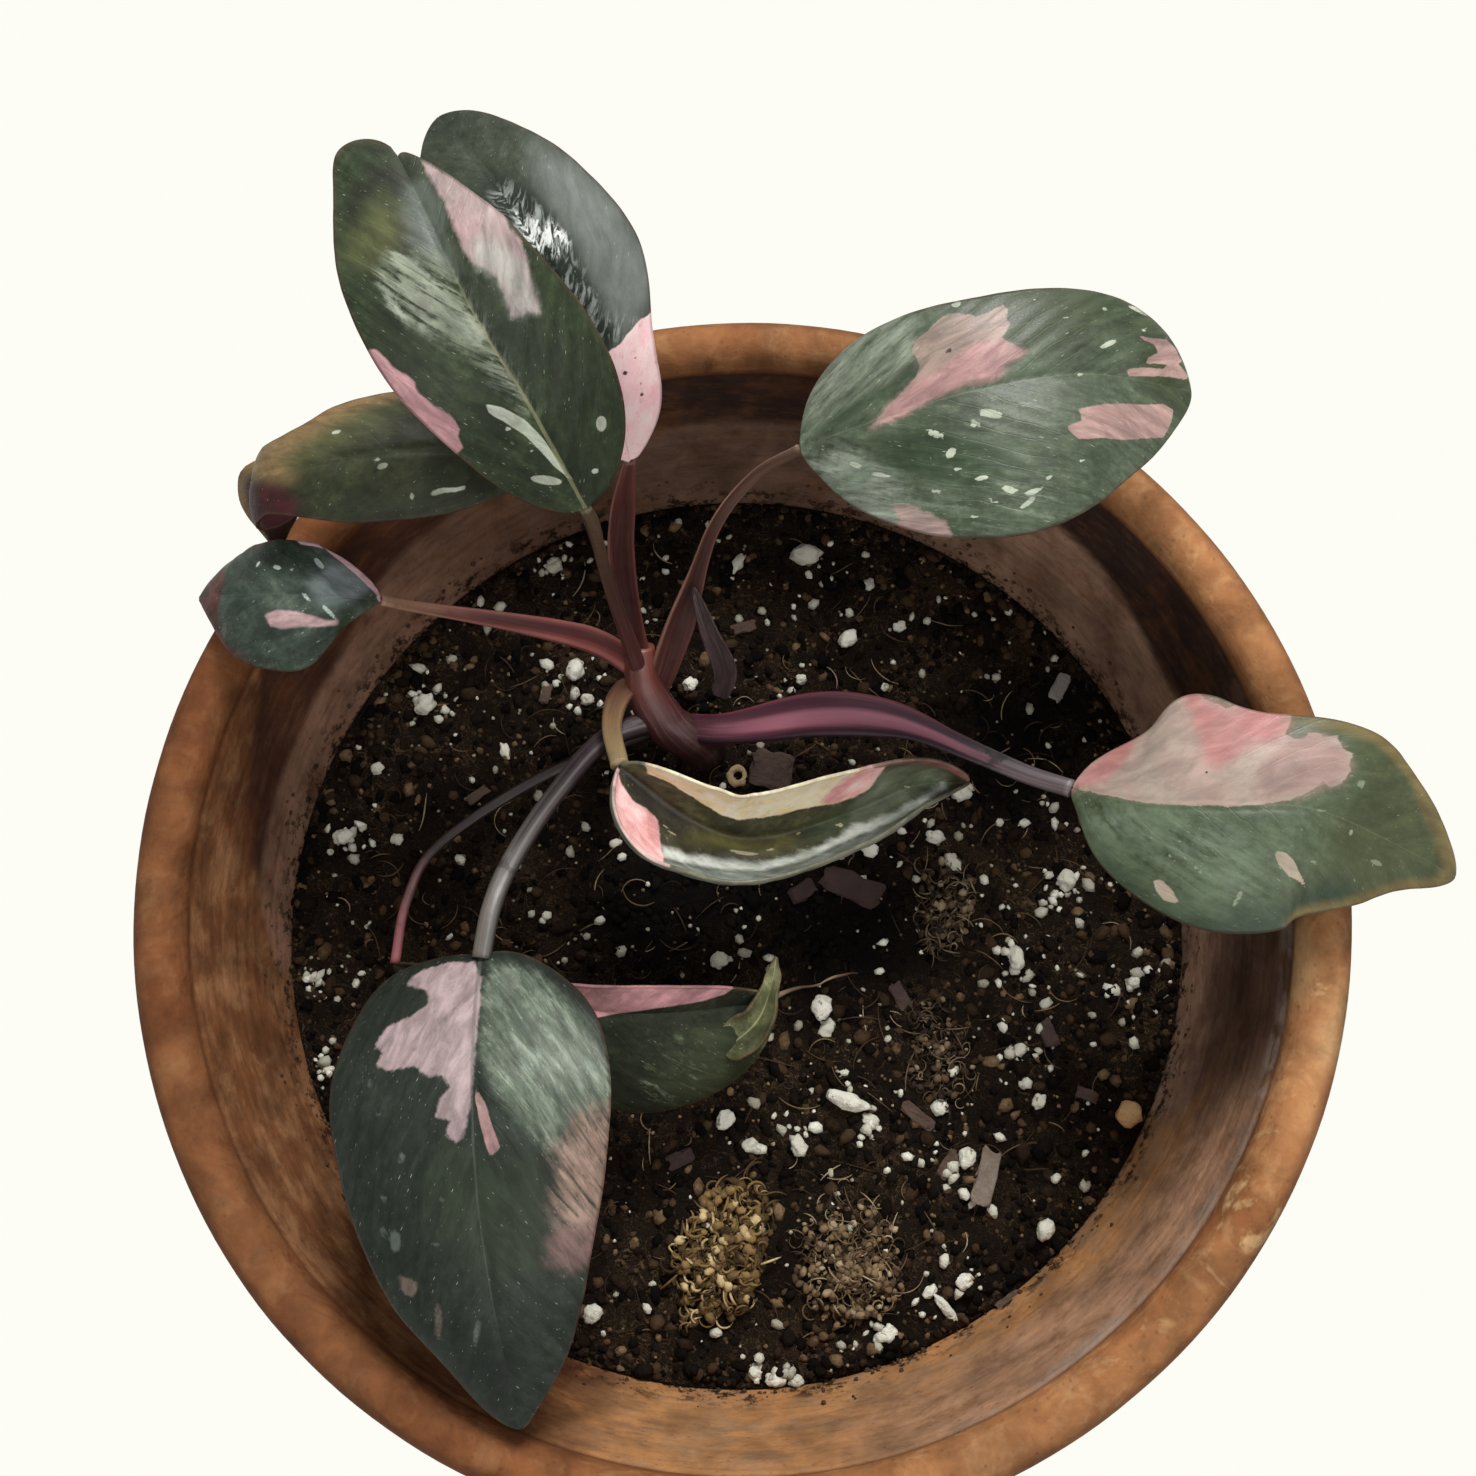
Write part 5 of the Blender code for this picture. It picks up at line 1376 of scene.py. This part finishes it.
# how many millimetres flat places on the leaf lie inside the nearest of a patch's shapes, minus outside them
def patchDistance(places, shapes):
    best = np.full(len(places), -50.0)
    for shape in shapes:
        corners = np.array(shape)
        ahead = np.roll(corners, -1, axis=0)
        nearest = np.full(len(places), 1e9)
        inside = np.zeros(len(places), bool)
        for a, b in zip(corners, ahead):
            run = b - a
            at = np.clip(((places - a) @ run) / max(run @ run, 1e-9), 0, 1)
            nearest = np.minimum(nearest, np.hypot(*(places - a - at[:, None] * run).T))
            crosses = (a[1] > places[:, 1]) != (b[1] > places[:, 1])
            slant = (b[0] - a[0]) * (places[:, 1] - a[1]) / (b[1] - a[1] if b[1] != a[1] else 1e-9) + a[0]
            inside ^= crosses & (places[:, 0] < slant)
        best = np.maximum(best, np.where(inside, nearest, -nearest))
    return best


# the pixels of the photograph at which places are seen
def seenAt(places):
    back = np.array(Vector(view["back"]).normalized())
    right = np.cross(view["up"], back)
    right /= np.linalg.norm(right)
    away = places - np.array(view["place"])
    scale = view["lens"] / view["film"] * view["pixels"] / -(away @ back)
    middle = view["pixels"] / 2
    over = away @ np.cross(back, right)
    return np.stack([middle + (away @ right) * scale, middle - over * scale], axis=-1)


# a blade's places by turn and across, as the photograph shows them
def bladeSeen(spec, read, total, rows=120, columns=81):
    turns, sides = np.linspace(0, math.pi, rows), np.linspace(-1, 1, columns)
    places = [[bladePoint(spec, read, total, turn, across)[0] for across in sides] for turn in turns]
    return turns, sides, seenAt(np.array(places))


# where a point of the leaf's crop lies on the blade, as shares of its length and half width: the nearest
# place of the chart, then a step along its slopes; a point at the edge moves off it, so a patch runs out
def onBlade(spec, chart, x, y, runOut=True):
    turns, sides, seen = chart
    left, top, scale = spec["crop"]
    pixel = np.array((left + x / scale, top + y / scale))
    gaps = ((seen - pixel) ** 2).sum(axis=-1)
    i, j = np.unravel_index(np.argmin(gaps), gaps.shape)
    i0, i1 = max(i - 1, 0), min(i + 1, len(turns) - 1)
    j0, j1 = max(j - 1, 0), min(j + 1, len(sides) - 1)
    slopes = np.array(((seen[i1, j] - seen[i0, j]) / (turns[i1] - turns[i0]),
                       (seen[i, j1] - seen[i, j0]) / (sides[j1] - sides[j0]))).T
    shift = np.zeros(2)
    if abs(np.linalg.det(slopes)) > 0.001:
        shift = np.linalg.solve(slopes, pixel - seen[i, j])
    turn = turns[i] + np.clip(shift[0], turns[i0] - turns[i], turns[i1] - turns[i])
    across = sides[j] + np.clip(shift[1], sides[j0] - sides[j], sides[j1] - sides[j])
    if runOut and abs(across) > 0.975:
        across = math.copysign(1.12, across)
    return (1 - math.cos(turn)) / 2, across


# a patch's outlines and oval spots in millimetres along and across the blade
def patchShapes(spec, total, chart, patch):
    def measured(along, across):
        turn = math.acos(min(max(1 - 2 * along, -1), 1))
        widths = [0, *spec["left" if across < 0 else "right"], 0]
        return along * total / mm, across * max(between(widths, turn / math.pi), 0.02)

    shapes = []
    outlines = patch.get("outlines", [])
    traced = [[onBlade(spec, chart, *corner) for corner in outline] for outline in outlines]
    for outline in traced + patch.get("shares", []):
        shape = []
        for (a, b), (c, d) in zip(outline, outline[1:] + outline[:1]):
            steps = max(int(max(abs(c - a) / 0.05, abs(d - b) / 0.25)), 1)
            for step in range(steps):
                shape.append(measured(a + (c - a) * step / steps, b + (d - b) * step / steps))
        shapes.append(shape)
    for x, y, length, width, degrees in patch.get("spots", []):
        u, v = math.cos(math.radians(degrees)), math.sin(math.radians(degrees))
        corners = ((x, y), (x + length * u, y + length * v), (x - width * v, y + width * u))
        centre, end, flank = [np.array(measured(*onBlade(spec, chart, *corner, False))) for corner in corners]
        longHalf, wideHalf = max(math.dist(end, centre), 0.2), max(math.dist(flank, centre), 0.15)
        turn = math.atan2(end[1] - centre[1], end[0] - centre[0])
        shape = []
        for step in range(10):
            u, v = longHalf * math.cos(math.pi * step / 5), wideHalf * math.sin(math.pi * step / 5)
            shape.append(turned(centre, u, v, turn))
        shapes.append(shape)
    return shapes


# leaf skin: veined green, then the leaf's own patches laid over it one after another
def leafPaint(name, spec):
    p = Paint(name)
    light = spec["light"]
    base = [skin(shown, light) for shown in spec["base"]]
    chart = p.chart("leafChart")
    x, y, _ = p.split(chart)  # centimetres along and across the blade
    far = abs(y)
    side = p.math("SIGN", y)
    vein = x - far * (spec["slant"] + far * 0.2)  # the same all along a side vein
    acrossVeins, alongVeins = spec.get("comb", (4.6, 2.2))
    brushed = p.noise(p.join(vein * acrossVeins, far * alongVeins, side), 1.0, 6.0, 0.68, 0.5)
    hair = p.noise(p.join(vein * (acrossVeins * 3.6), far * (alongVeins * 2.4), side), 1.0, 4.0, 0.65, 0.4)
    broad = p.noise(chart, 1.1, 3.0, 0.55)
    mottle = p.noise(chart, 8.0, 5.0, 0.7)
    grain = p.noise(chart, 36.0, 3.0, 0.6)
    mixed = broad * 0.4 + brushed * 0.22 + mottle * 0.38
    colour = p.ramp(mixed, [(0.36, base[0]), (0.52, base[1]), (0.68, base[2])])
    swing = (brushed - 0.5) * 1.7 + (mottle - 0.5) * 1.5
    strokes = brushed * 0.65 + (hair * 0.15 + mottle * 0.2)
    streaky = p.step(broad + mottle * 0.3, 0.5, 0.8)
    ribs = p.math("FRACT", vein * 2.2 + broad * 0.8)
    ribLine = p.step(abs(ribs - 0.5), 0.06, 0.0)
    colour = p.blend(ribLine * spec.get("ribs", 0.06), colour, base[2])
    for number, patch in enumerate(spec["patches"]):
        reached = p.attribute("patch%d" % number) + swing * (patch["jag"] * 0.5)
        mask = p.step(reached, -patch["soft"], patch["soft"])
        if "brush" in patch:
            mask = mask * p.step(strokes, *patch["brush"])
        if "grainy" in patch:
            scale, low, high = patch["grainy"]
            grains = p.noise(p.join(vein, far * 0.7, side), scale, 5.0, 0.66, 0.8)
            mask = mask * p.step(grains, low, high)
        shown = p.blend(streaky, *[skin(each, patch.get("light", light)) for each in patch["tones"]])
        shown = p.blend(p.step(mottle, 0.55, 0.75) * 0.25, shown, base[2])
        colour = p.blend(mask * patch.get("share", 1.0), colour, shown)
    for rim in spec.get("rims", []):
        reached = p.attribute("edge") + swing * (rim["width"] * 0.3)
        mask = p.step(reached, rim["width"] * 1.4, rim["width"] * 0.3) * p.step(x, *rim["span"])
        if "side" in rim:
            mask = mask * p.step(y * rim["side"], -0.1, 0.2)
        colour = p.blend(mask * rim["share"], colour, skin(rim["tone"], light))
    # fine pale flecks, the midrib, then the thin reddish margin
    for scale, rarity, size, share in ((7.0, 0.80, 0.14, 0.5), (16.0, 0.86, 0.2, 0.4)):
        apart, luck = p.cells(p.join(vein * 1.7, y), scale)
        fleck = p.step(apart, size, size * 0.5) * p.step(luck, rarity, rarity + 0.02)
        colour = p.blend(fleck * (share * spec.get("flecks", 1.0)), colour, tone(164, 172, 156))
    midHalf = spec["midribHalf"] - x * (spec["midribHalf"] * 0.16)
    middle = p.step(far - midHalf, 0.012, -0.012) * p.step(x, *spec.get("midribSpan", (9.0, 10.0)), 1.0, 0.0)
    colour = p.blend(middle * spec["midribShare"], colour, skin(spec["midribTone"], light))
    margin = p.step(p.attribute("edge"), 0.55, 0.1)
    marginTone = skin(spec["margin"], light) if "margin" in spec else tone(78, 54, 42)
    colour = p.blend(margin * 0.45, colour, marginTone)
    colour = p.blend(grain * 0.14, colour, base[0])
    dabs = p.noise(p.join(vein * 2.4, far * 3.4, side), 1.0, 6.0, 0.64, 0.5)
    colour = p.blend(spec.get("dabs", 0.38), colour, p.step(dabs, 0.28, 0.72), "OVERLAY")
    height = ribLine * -0.2 + grain * 0.25 + brushed * 0.6
    rough = p.step(grain, 0.3, 0.7, spec["rough"] - 0.05, spec["rough"] + 0.09)
    shine = {"Coat Weight": spec["coat"], "Coat Roughness": 0.2, "Specular IOR Level": spec["spec"]}
    return p.finish(colour, rough, p.bump(height, 0.3, 0.0003), **shine)


# the underside: dull olive or the leaf's own tones, with its veins standing out
def underPaint(name, spec):
    p = Paint(name)
    chart = p.chart("leafChart")
    x, y, _ = p.split(chart)
    far = abs(y)
    vein = x - far * spec["slant"]
    first, second = tone(84, 82, 66), tone(58, 56, 44)
    if "under" in spec:
        first, second = [skin(shown, spec["light"]) for shown in spec["under"]]
    cloud = p.noise(chart, 2.2, 4.0, 0.6)
    line = p.step(abs(p.math("FRACT", vein * 2.2) - 0.5), 0.1, 0.0)
    colour = p.blend(p.step(cloud, 0.35, 0.65), first, second)
    colour = p.blend(line * 0.3, colour, first)
    colour = p.blend(p.step(far, 0.1, 0.05) * 0.5, colour, tone(120, 104, 82))
    return p.finish(colour, 0.5, p.bump(line + cloud, 0.3, 0.0004), **{"Specular IOR Level": 0.3})


# a blade: its grid is bent to the leaf's shape, marked with how deep it lies in each patch, and thickened
def makeLeaf(name, spec):
    read, total = pathReader(spec["midrib"])
    chartSeen = bladeSeen(spec, read, total) if spec["patches"] else None
    marks = [patchShapes(spec, total, chartSeen, patch) for patch in spec["patches"]]
    bm = bmesh.new()
    stations, ribs = spec.get("grid", (leafGrid["stations"], leafGrid["ribs"]))
    bmesh.ops.create_grid(bm, x_segments=stations, y_segments=ribs, size=1)
    bm.verts.ensure_lookup_table()
    for number in range(len(marks)):
        bm.verts.layers.float.new("patch%d" % number)
    edge = bm.verts.layers.float.new("edge")
    seed = sum(ord(letter) for letter in name) * 0.37
    flat = np.zeros((len(bm.verts), 2))
    for vert in bm.verts:
        turn, across = math.pi * (vert.co.x + 1) / 2, -vert.co.y
        place, up, along, far = bladePoint(spec, read, total, turn, across)
        signed = far / mm * (1 if across > 0 else -1)
        flat[vert.index] = (along * total / mm, signed)
        half = far / max(abs(across), 0.01) / mm
        vert[edge] = half * (1 - abs(across)) if abs(across) > 0.5 else 9.0
        ebb = math.sin(turn) * min(half * (1 - abs(across)) / 1.5 + 0.35, 1)
        vein = along * total / mm - spec["slant"] * far / mm
        quilt = 0.05 * math.sin(2 * math.pi * vein * 0.22 + (0 if across > 0 else 1.3)) * min(far / mm / 3, 1)
        groove = -0.35 * math.exp(-(far / mm / 0.7) ** 2) * (1.15 - along)
        swell = 0.35 * noise.noise(Vector((along * 3.1 + seed, signed * 0.11, seed)))
        ripple = noise.noise(Vector((along * 5 + seed, signed * 0.03, seed)))
        wave = spec.get("wave", 0.5) * abs(across) ** 2.5 * ripple
        vert.co = place + up * ((quilt + groove) * ebb + (wave + swell * ebb) * math.sin(turn)) * mm
    for number, shapes in enumerate(marks):
        layer = bm.verts.layers.float["patch%d" % number]
        reached = patchDistance(flat, shapes)
        for vert in bm.verts:
            vert[layer] = reached[vert.index]
    writeChart(bm, "leafChart", lambda vert: flat[vert.index] / 10)
    bmesh.ops.remove_doubles(bm, verts=bm.verts, dist=0.03 * mm)
    label = name.replace("_", " ")
    paints = [leafPaint(label, spec), underPaint(label + " underside", spec)]
    piece = addPiece(name.replace("leaf_", "blade_"), bm, paints)
    thicken(piece, leafGrid["thickness"], 1)
    return dress(piece, spec["slot"], spec.get("node", name))


# the torn end of the low front leaf, with the dry thread that hangs from it
torn = dict(
    midrib=[(-2.5, -23.5, 141.2), (2.6, -19.5, 142.4), (5.0, -14.5, 143.4), (6.0, -9.4, 144)],
    left=[2.6, 3.4, 3.3, 2.6, 1.8, 1.1, 0.5], right=[2.4, 3.1, 3.2, 2.6, 1.5, 1.0, 0.4],
    fold=(8, 8), curl=(20, 10), wave=1.6, slot="leaf_green", node="leaf_low_front", grid=(44, 22),
    light=1.0, base=[(46, 50, 34), (82, 84, 56), (126, 126, 90)], slant=0.6,
    midribTone=(164, 168, 120), midribShare=0.5, midribHalf=0.015, rough=0.5, spec=0.2, coat=0.02, patches=[])
thread = dict(path=[(5.5, -15.4, 142), (9, -13.9, 140.5), (12.5, -13.2, 138), (15.5, -11.6, 136),
                    (18.8, -11.2, 133.5)],
              widths=[0.5, 0.24, 0.16, 0.2, 0.1])


def makeThread():
    bm = bmesh.new()
    tint = bm.verts.layers.float.new("tint")
    for vert in rollRod(bm, thread["path"], thread["widths"], 8, 40):
        if vert.is_valid:
            kinks = [noise.noise(vert.co * 400 + Vector((axis * 7, 0, 0))) for axis in range(3)]
            vert.co += 0.25 * mm * Vector(kinks)
            vert[tint] = 0.5 + noise.noise(vert.co * 200)
    bmesh.ops.recalc_face_normals(bm, faces=bm.faces)
    stops = [(0.1, tone(50, 36, 30)), (0.5, tone(92, 72, 60)), (1.0, tone(132, 112, 94))]
    dress(addPiece("dryThread", bm, [strawPaint("dry thread", stops)]), "dry_sheath", "leaf_low_front")


for leafName, leafSpec in leaves.items():
    makeLeaf(leafName, leafSpec)
makeLeaf("leaf_low_torn_end", torn)
makeThread()
print("leaves grown")


towardsFront, upwards = (0.2, -1.0, 0.7), (0, 0, 1)
# path: from just behind the blade down into the crown; width: half widths; flat: depth over width;
# groove: how far the channel cuts in; wings: how far the edges stand up; face: where the channel looks;
# tones: from blade to crown; bands: painted highlights, painted shade and edge lines, across from -1 to 1,
# span in shares of the length, as rings are
stalks = [
    dict(leaf="leaf_upper_left",
         path=[(-18.5, 47.9, 181), (-19.1, 47.4, 167), (-18.4, 44.1, 152), (-16, 37, 133)],
         width=[0.9, 0.9, 1.0, 1.2, 1.6], flat=0.9, groove=0.3, wings=0, face=towardsFront,
         tones=[(96, 84, 60), (82, 62, 48), (74, 42, 38), (86, 46, 44)]),
    dict(leaf="leaf_rear", path=[(-16.3, 57, 165), (-17.6, 52.6, 156), (-17.4, 46.7, 146), (-15.5, 37, 132)],
         width=[0.9, 1.9, 2.1, 1.7, 1.8], flat=0.55, groove=1.2, wings=0.25, face=towardsFront,
         tones=[(106, 60, 52), (78, 42, 38), (70, 35, 33), (100, 48, 42)],
         bands=[dict(tone=(182, 124, 110), across=(0.9, 1.3), share=0.65),
                dict(tone=(120, 70, 62), across=(-1.3, -0.85), share=0.5),
                dict(tone=(46, 24, 24), across=(-0.5, 0.3), share=0.5)]),
    dict(leaf="leaf_far_left", path=[(-22.3, 56.9, 158), (-20.4, 50.7, 147), (-17, 38, 131)],
         width=[1.0, 1.0, 1.1, 1.4], flat=0.9, groove=0.3, wings=0, face=towardsFront,
         tones=[(88, 74, 52), (70, 50, 40), (66, 40, 36)]),
    dict(leaf="leaf_small_left",
         path=[(-47.6, 42.2, 161), (-34, 42.3, 151), (-22.7, 42, 140), (-15, 38, 132)],
         width=[0.8, 1.1, 1.7, 2.2, 2.0], flat=0.7, groove=1.0, wings=0.2, face=upwards,
         tones=[(150, 118, 90), (122, 66, 62), (112, 54, 52), (96, 44, 42)],
         bands=[dict(tone=(168, 108, 98), across=(-1.3, -0.7), share=0.5),
                dict(tone=(176, 112, 106), across=(0.5, 0.9), span=(0.1, 0.4), share=0.45),
                dict(tone=(52, 28, 28), across=(-0.5, 0.15), span=(0.2, 0.4), share=0.65)]),
    dict(leaf="leaf_upper_right",
         path=[(3.7, 60, 168), (-2.7, 55.1, 160), (-7.8, 47.1, 147), (-14.5, 35, 131)],
         width=[0.9, 1.0, 1.3, 2.5, 1.9], flat=0.6, groove=1.1, wings=0.2, face=towardsFront,
         tones=[(96, 72, 58), (84, 54, 46), (78, 44, 40), (92, 48, 44)],
         bands=[dict(tone=(176, 132, 112), across=(0.9, 1.3), span=(0.1, 0.3), share=0.65),
                dict(tone=(138, 92, 80), across=(-1.3, -0.8), share=0.5),
                dict(tone=(46, 26, 26), across=(-0.5, 0.4), span=(0.2, 0.5), share=0.5)]),
    dict(leaf="leaf_right", path=[(44.4, 16.5, 155), (37.3, 20.4, 152), (25.5, 26.6, 147.5),
               (13.1, 28.8, 143.5), (-1, 28.8, 135), (-9, 30, 130)],
         width=[1.4, 1.5, 1.9, 3.3, 3.6, 2.8, 2.4], flat=0.6, groove=1.2, wings=0.3, face=upwards,
         tones=[(84, 74, 76), (58, 48, 54), (74, 44, 56), (98, 48, 64), (70, 32, 44)],
         bands=[dict(tone=(118, 110, 114), across=(0.1, 0.6), span=(0.3, 0.15), share=0.6),
                dict(tone=(74, 38, 54), across=(0.4, 0.85), span=(0.25, 0.45), share=0.7),
                dict(tone=(140, 62, 74), across=(0.85, 1.3), span=(0.2, 0.4), share=0.5),
                dict(tone=(178, 112, 130), across=(-0.45, 0.3), span=(0.14, 0.34, 0.98, 0.7), share=0.7),
                dict(tone=(44, 24, 36), across=(-1.4, -0.7), span=(0.12, 0.3), share=0.85)], rings=(0.2,)),
    dict(leaf="leaf_young", path=[(-20.4, 28.2, 141), (-19.3, 35, 135.5), (-15, 38, 132)],
         width=[1.5, 1.6, 1.9, 1.9], flat=0.8, groove=0.5, wings=0.1, face=upwards,
         tones=[(144, 126, 90), (124, 94, 66), (104, 56, 46)]),
    dict(leaf="leaf_front_left", path=[(-35.1, -3.2, 161), (-32.7, 4.8, 157), (-28.3, 15.5, 148),
               (-22.1, 26.5, 137), (-13.5, 31.5, 131)],
         width=[1.4, 1.5, 1.5, 1.6, 1.8, 2.0], flat=0.85, groove=0.3, wings=0, face=upwards,
         tones=[(88, 86, 80), (72, 68, 66), (52, 44, 46), (44, 30, 36)],
         bands=[dict(tone=(124, 122, 122), across=(0.2, 0.5), share=0.45),
                dict(tone=(28, 20, 26), across=(-0.45, -0.1), span=(0.25, 0.35), share=0.8),
                dict(tone=(40, 30, 34), across=(0.85, 1.4), share=0.7)], rings=(0.24,)),
    dict(leaf="leaf_low_front", path=[(-54.1, 0.9, 134.5), (-49.8, 10.4, 131.5), (-34.1, 22, 128),
               (-13.5, 30.5, 129.5)],
         width=[0.8, 0.8, 0.9, 1.0, 1.4], flat=0.9, groove=0.2, wings=0, face=upwards,
         tones=[(158, 88, 96), (104, 60, 62), (40, 28, 28), (32, 23, 23), (28, 20, 20), (28, 20, 20),
                (30, 22, 22)]),
]
stem = dict(path=[(-16.4, 42, 138), (-15.8, 36, 134), (-12.4, 30.5, 131.3), (-8.2, 28.5, 128.5),
                  (-7.3, 28.4, 122), (-7.3, 28.4, 103)],
            width=[2.4, 3.4, 3.8, 4.0, 4.1, 3.6], flat=1.0, groove=0, wings=0, face=(1, 0, 0.2),
            tones=[(112, 58, 48), (66, 34, 36), (34, 22, 28), (26, 18, 22)])


def stalkPaint(name, spec):
    p = Paint(name)
    along, around, _ = p.split(p.chart("stalkChart"))  # share of the length, turns round
    lines = p.noise(p.join(along * 3.0, around * 26.0), 1.0, 4.0, 0.6, 0.2)
    mottle = p.noise(p.place, 420, 4.0, 0.6)
    last = len(spec["tones"]) - 1
    wander = along + (mottle - 0.5) * 0.12
    colour = p.ramp(wander, [(number / last, tone(*each)) for number, each in enumerate(spec["tones"])])
    colour = p.blend(p.step(lines, 0.5, 0.7) * 0.28, colour, tone(150, 112, 108))
    colour = p.blend(p.step(lines, 0.5, 0.3) * 0.35, colour, tone(40, 26, 26))
    colour = p.blend(p.step(mottle, 0.6, 0.75) * 0.3, colour, tone(48, 32, 28))
    # the bands of painted highlight, painted shade and edge colour lie on the upper side
    turn = around * (2 * math.pi)
    across = p.math("COSINE", turn) + (lines - 0.5) * 0.3
    upper = p.step(p.math("SINE", turn), -0.35, 0.0)
    for band in spec.get("bands", ()):
        low, high = band["across"]
        mask = p.step(across, low - 0.12, low + 0.12) * p.step(across, high + 0.12, high - 0.12) * upper
        for start in range(0, len(band.get("span", ())), 2):
            mask = mask * p.step(along, *band["span"][start:start + 2])
        colour = p.blend(mask * band["share"], colour, tone(*band["tone"]))
    for ring in spec.get("rings", ()):
        colour = p.blend(p.step(abs(wander - ring), 0.02, 0.006) * 0.7, colour, tone(30, 22, 22))
    return p.finish(colour, p.step(mottle, 0.3, 0.7, 0.36, 0.52), p.bump(lines + mottle, 0.35, 0.0003),
                    **{"Coat Weight": 0.1, "Coat Roughness": 0.3})


def makeStalk(name, spec):
    path, behind = spec["path"], 0.25  # how far behind the blade's foot a stalk starts, in millimetres
    if "leaf" in spec:
        foot = Vector(leaves[spec["leaf"]]["midrib"][0])
        path = [foot + (Vector(path[0]) - foot).normalized() * behind, *path]
    read, _ = pathReader(path)
    bm = bmesh.new()
    bmesh.ops.create_grid(bm, x_segments=70, y_segments=28, size=1)
    writeChart(bm, "stalkChart", lambda vert: ((vert.co.x + 1) / 2, (vert.co.y + 1) / 2))
    facing = Vector(spec["face"])
    for vert in bm.verts:
        share, angle = (vert.co.x + 1) / 2, math.pi * (vert.co.y + 1)
        centre, sideways, upward = crossAt(read, share, facing)
        half = between(spec["width"], share) * mm
        x, y = math.cos(angle), math.sin(angle)
        depth = spec["flat"] * y
        opened = min(share * 4, (1 - share) * 3, 1)
        if y > 0:
            depth *= 1 - spec["groove"] * opened * (1 - x * x)
        depth += spec["wings"] * opened * x * x
        paleSheenLine = 1 + 0.05 * noise.noise(centre * 160 + Vector((x, y, 0)))
        vert.co = centre + (sideways * half * x + upward * half * depth) * paleSheenLine
    bmesh.ops.remove_doubles(bm, verts=bm.verts, dist=0.002 * mm)
    bmesh.ops.holes_fill(bm, edges=[edge for edge in bm.edges if edge.is_boundary], sides=0)
    bmesh.ops.recalc_face_normals(bm, faces=bm.faces)
    return dress(addPiece(name, bm, [stalkPaint(name, spec)]), "stalk", "stem_and_stalks")


for spec in stalks:
    makeStalk(spec["leaf"].replace("leaf_", "stalk_"), spec)
makeStalk("stem", stem)


drySheath = dict(
    midrib=[(-3.2, 34.5, 133.5), (-2.4, 37.5, 138), (-4.4, 42, 145), (-6.6, 48, 151)],
    left=[1.5, 2, 2.2, 2, 1.6, 1.1, 0.5], right=[1.5, 2, 2.2, 2, 1.6, 1.1, 0.5],
    fold=(25, 25), curl=(20, 20), thickness=0.35 * mm)


# the dry strip at the foot of the upper right leaf's stalk, shaped as a small narrow blade
def makeDrySheath():
    p = Paint("dry papery sheath")
    x, y, _ = p.split(p.chart("leafChart"))
    lines = p.noise(p.join(x * 2.0, y * 60.0), 1.0, 4.0, 0.6)
    colour = p.blend(p.step(lines, 0.35, 0.65), tone(84, 64, 64), tone(44, 31, 34))
    paint = p.finish(colour, 0.75, p.bump(lines, 0.6, 0.0003))
    read, total = pathReader(drySheath["midrib"])
    bm = bmesh.new()
    bmesh.ops.create_grid(bm, x_segments=50, y_segments=16, size=1)
    spots = {}
    for vert in bm.verts:
        turn, across = math.pi * (vert.co.x + 1) / 2, -vert.co.y
        place, up, along, far = bladePoint(drySheath, read, total, turn, across)
        spots[vert] = (along * total / mm / 10, far / mm / 10 * (1 if across > 0 else -1))
        creaseShade = 0.25 * noise.noise(Vector((along * 3, across * 4, 2))) * math.sin(turn)
        vert.co = place + up * creaseShade * mm
    writeChart(bm, "leafChart", spots.get)
    bmesh.ops.remove_doubles(bm, verts=bm.verts, dist=0.03 * mm)
    piece = addPiece("sheathDry", bm, [paint])
    thicken(piece, drySheath["thickness"])
    return dress(piece, "dry_sheath", "dry_sheath")


makeDrySheath()
print("stalks and stem made")


studio = dict(
    floorTone=tone(253, 253, 245), world=0.45, worldTone=(1.0, 0.995, 0.98, 1),
    aim=Vector((0, 0, 0.14)), lampTone=(1.0, 0.985, 0.95),
    # place, size and power
    lamps=dict(key=((0.20, 0.78, 0.98), 0.5, 15.0), fill=((0.25, -0.55, 1.0), 0.9, 4.0)))


# a pale floor that shines by itself, a soft sky, a key light behind and a fill light in front
def makeStudio():
    p = Paint("pale floor")
    p.finish(tone(0, 0, 0), 1.0, None, **{"Specular IOR Level": 0.0, "Emission Color": studio["floorTone"],
                                          "Emission Strength": 1.0})
    bm = bmesh.new()
    bmesh.ops.create_grid(bm, x_segments=2, y_segments=2, size=3)
    floor = addPiece("floor", bm, [p.material])
    world = bpy.data.worlds.new("studio")
    world.use_nodes = True
    sky = world.node_tree.nodes["Background"]
    sky.inputs["Color"].default_value = studio["worldTone"]
    sky.inputs["Strength"].default_value = studio["world"]
    scene.world = world
    for name, (place, size, power) in studio["lamps"].items():
        light = bpy.data.lights.new(name, "AREA")
        light.shape = "DISK"
        light.size = size
        light.energy = power
        light.color = studio["lampTone"]
        lamp = bpy.data.objects.new(name, light)
        lamp.location = place
        lamp.rotation_euler = (studio["aim"] - lamp.location).to_track_quat("-Z", "Y").to_euler()
        scene.collection.objects.link(lamp)


# the camera stands almost over the pot, leaning a little from the front
def makeCamera():
    data = bpy.data.cameras.new("camera")
    data.sensor_width = view["film"]
    data.lens = view["lens"]
    data.clip_start = 0.01
    camera = bpy.data.objects.new("camera", data)
    scene.collection.objects.link(camera)
    back = Vector(view["back"]).normalized()
    right = Vector(view["up"]).cross(back).normalized()
    up = back.cross(right)
    camera.matrix_world = Matrix.Translation(view["place"]) @ Matrix((right, up, back)).transposed().to_4x4()
    scene.camera = camera


makeStudio()
makeCamera()
scene.view_settings.view_transform = "Standard"
print("studio set")
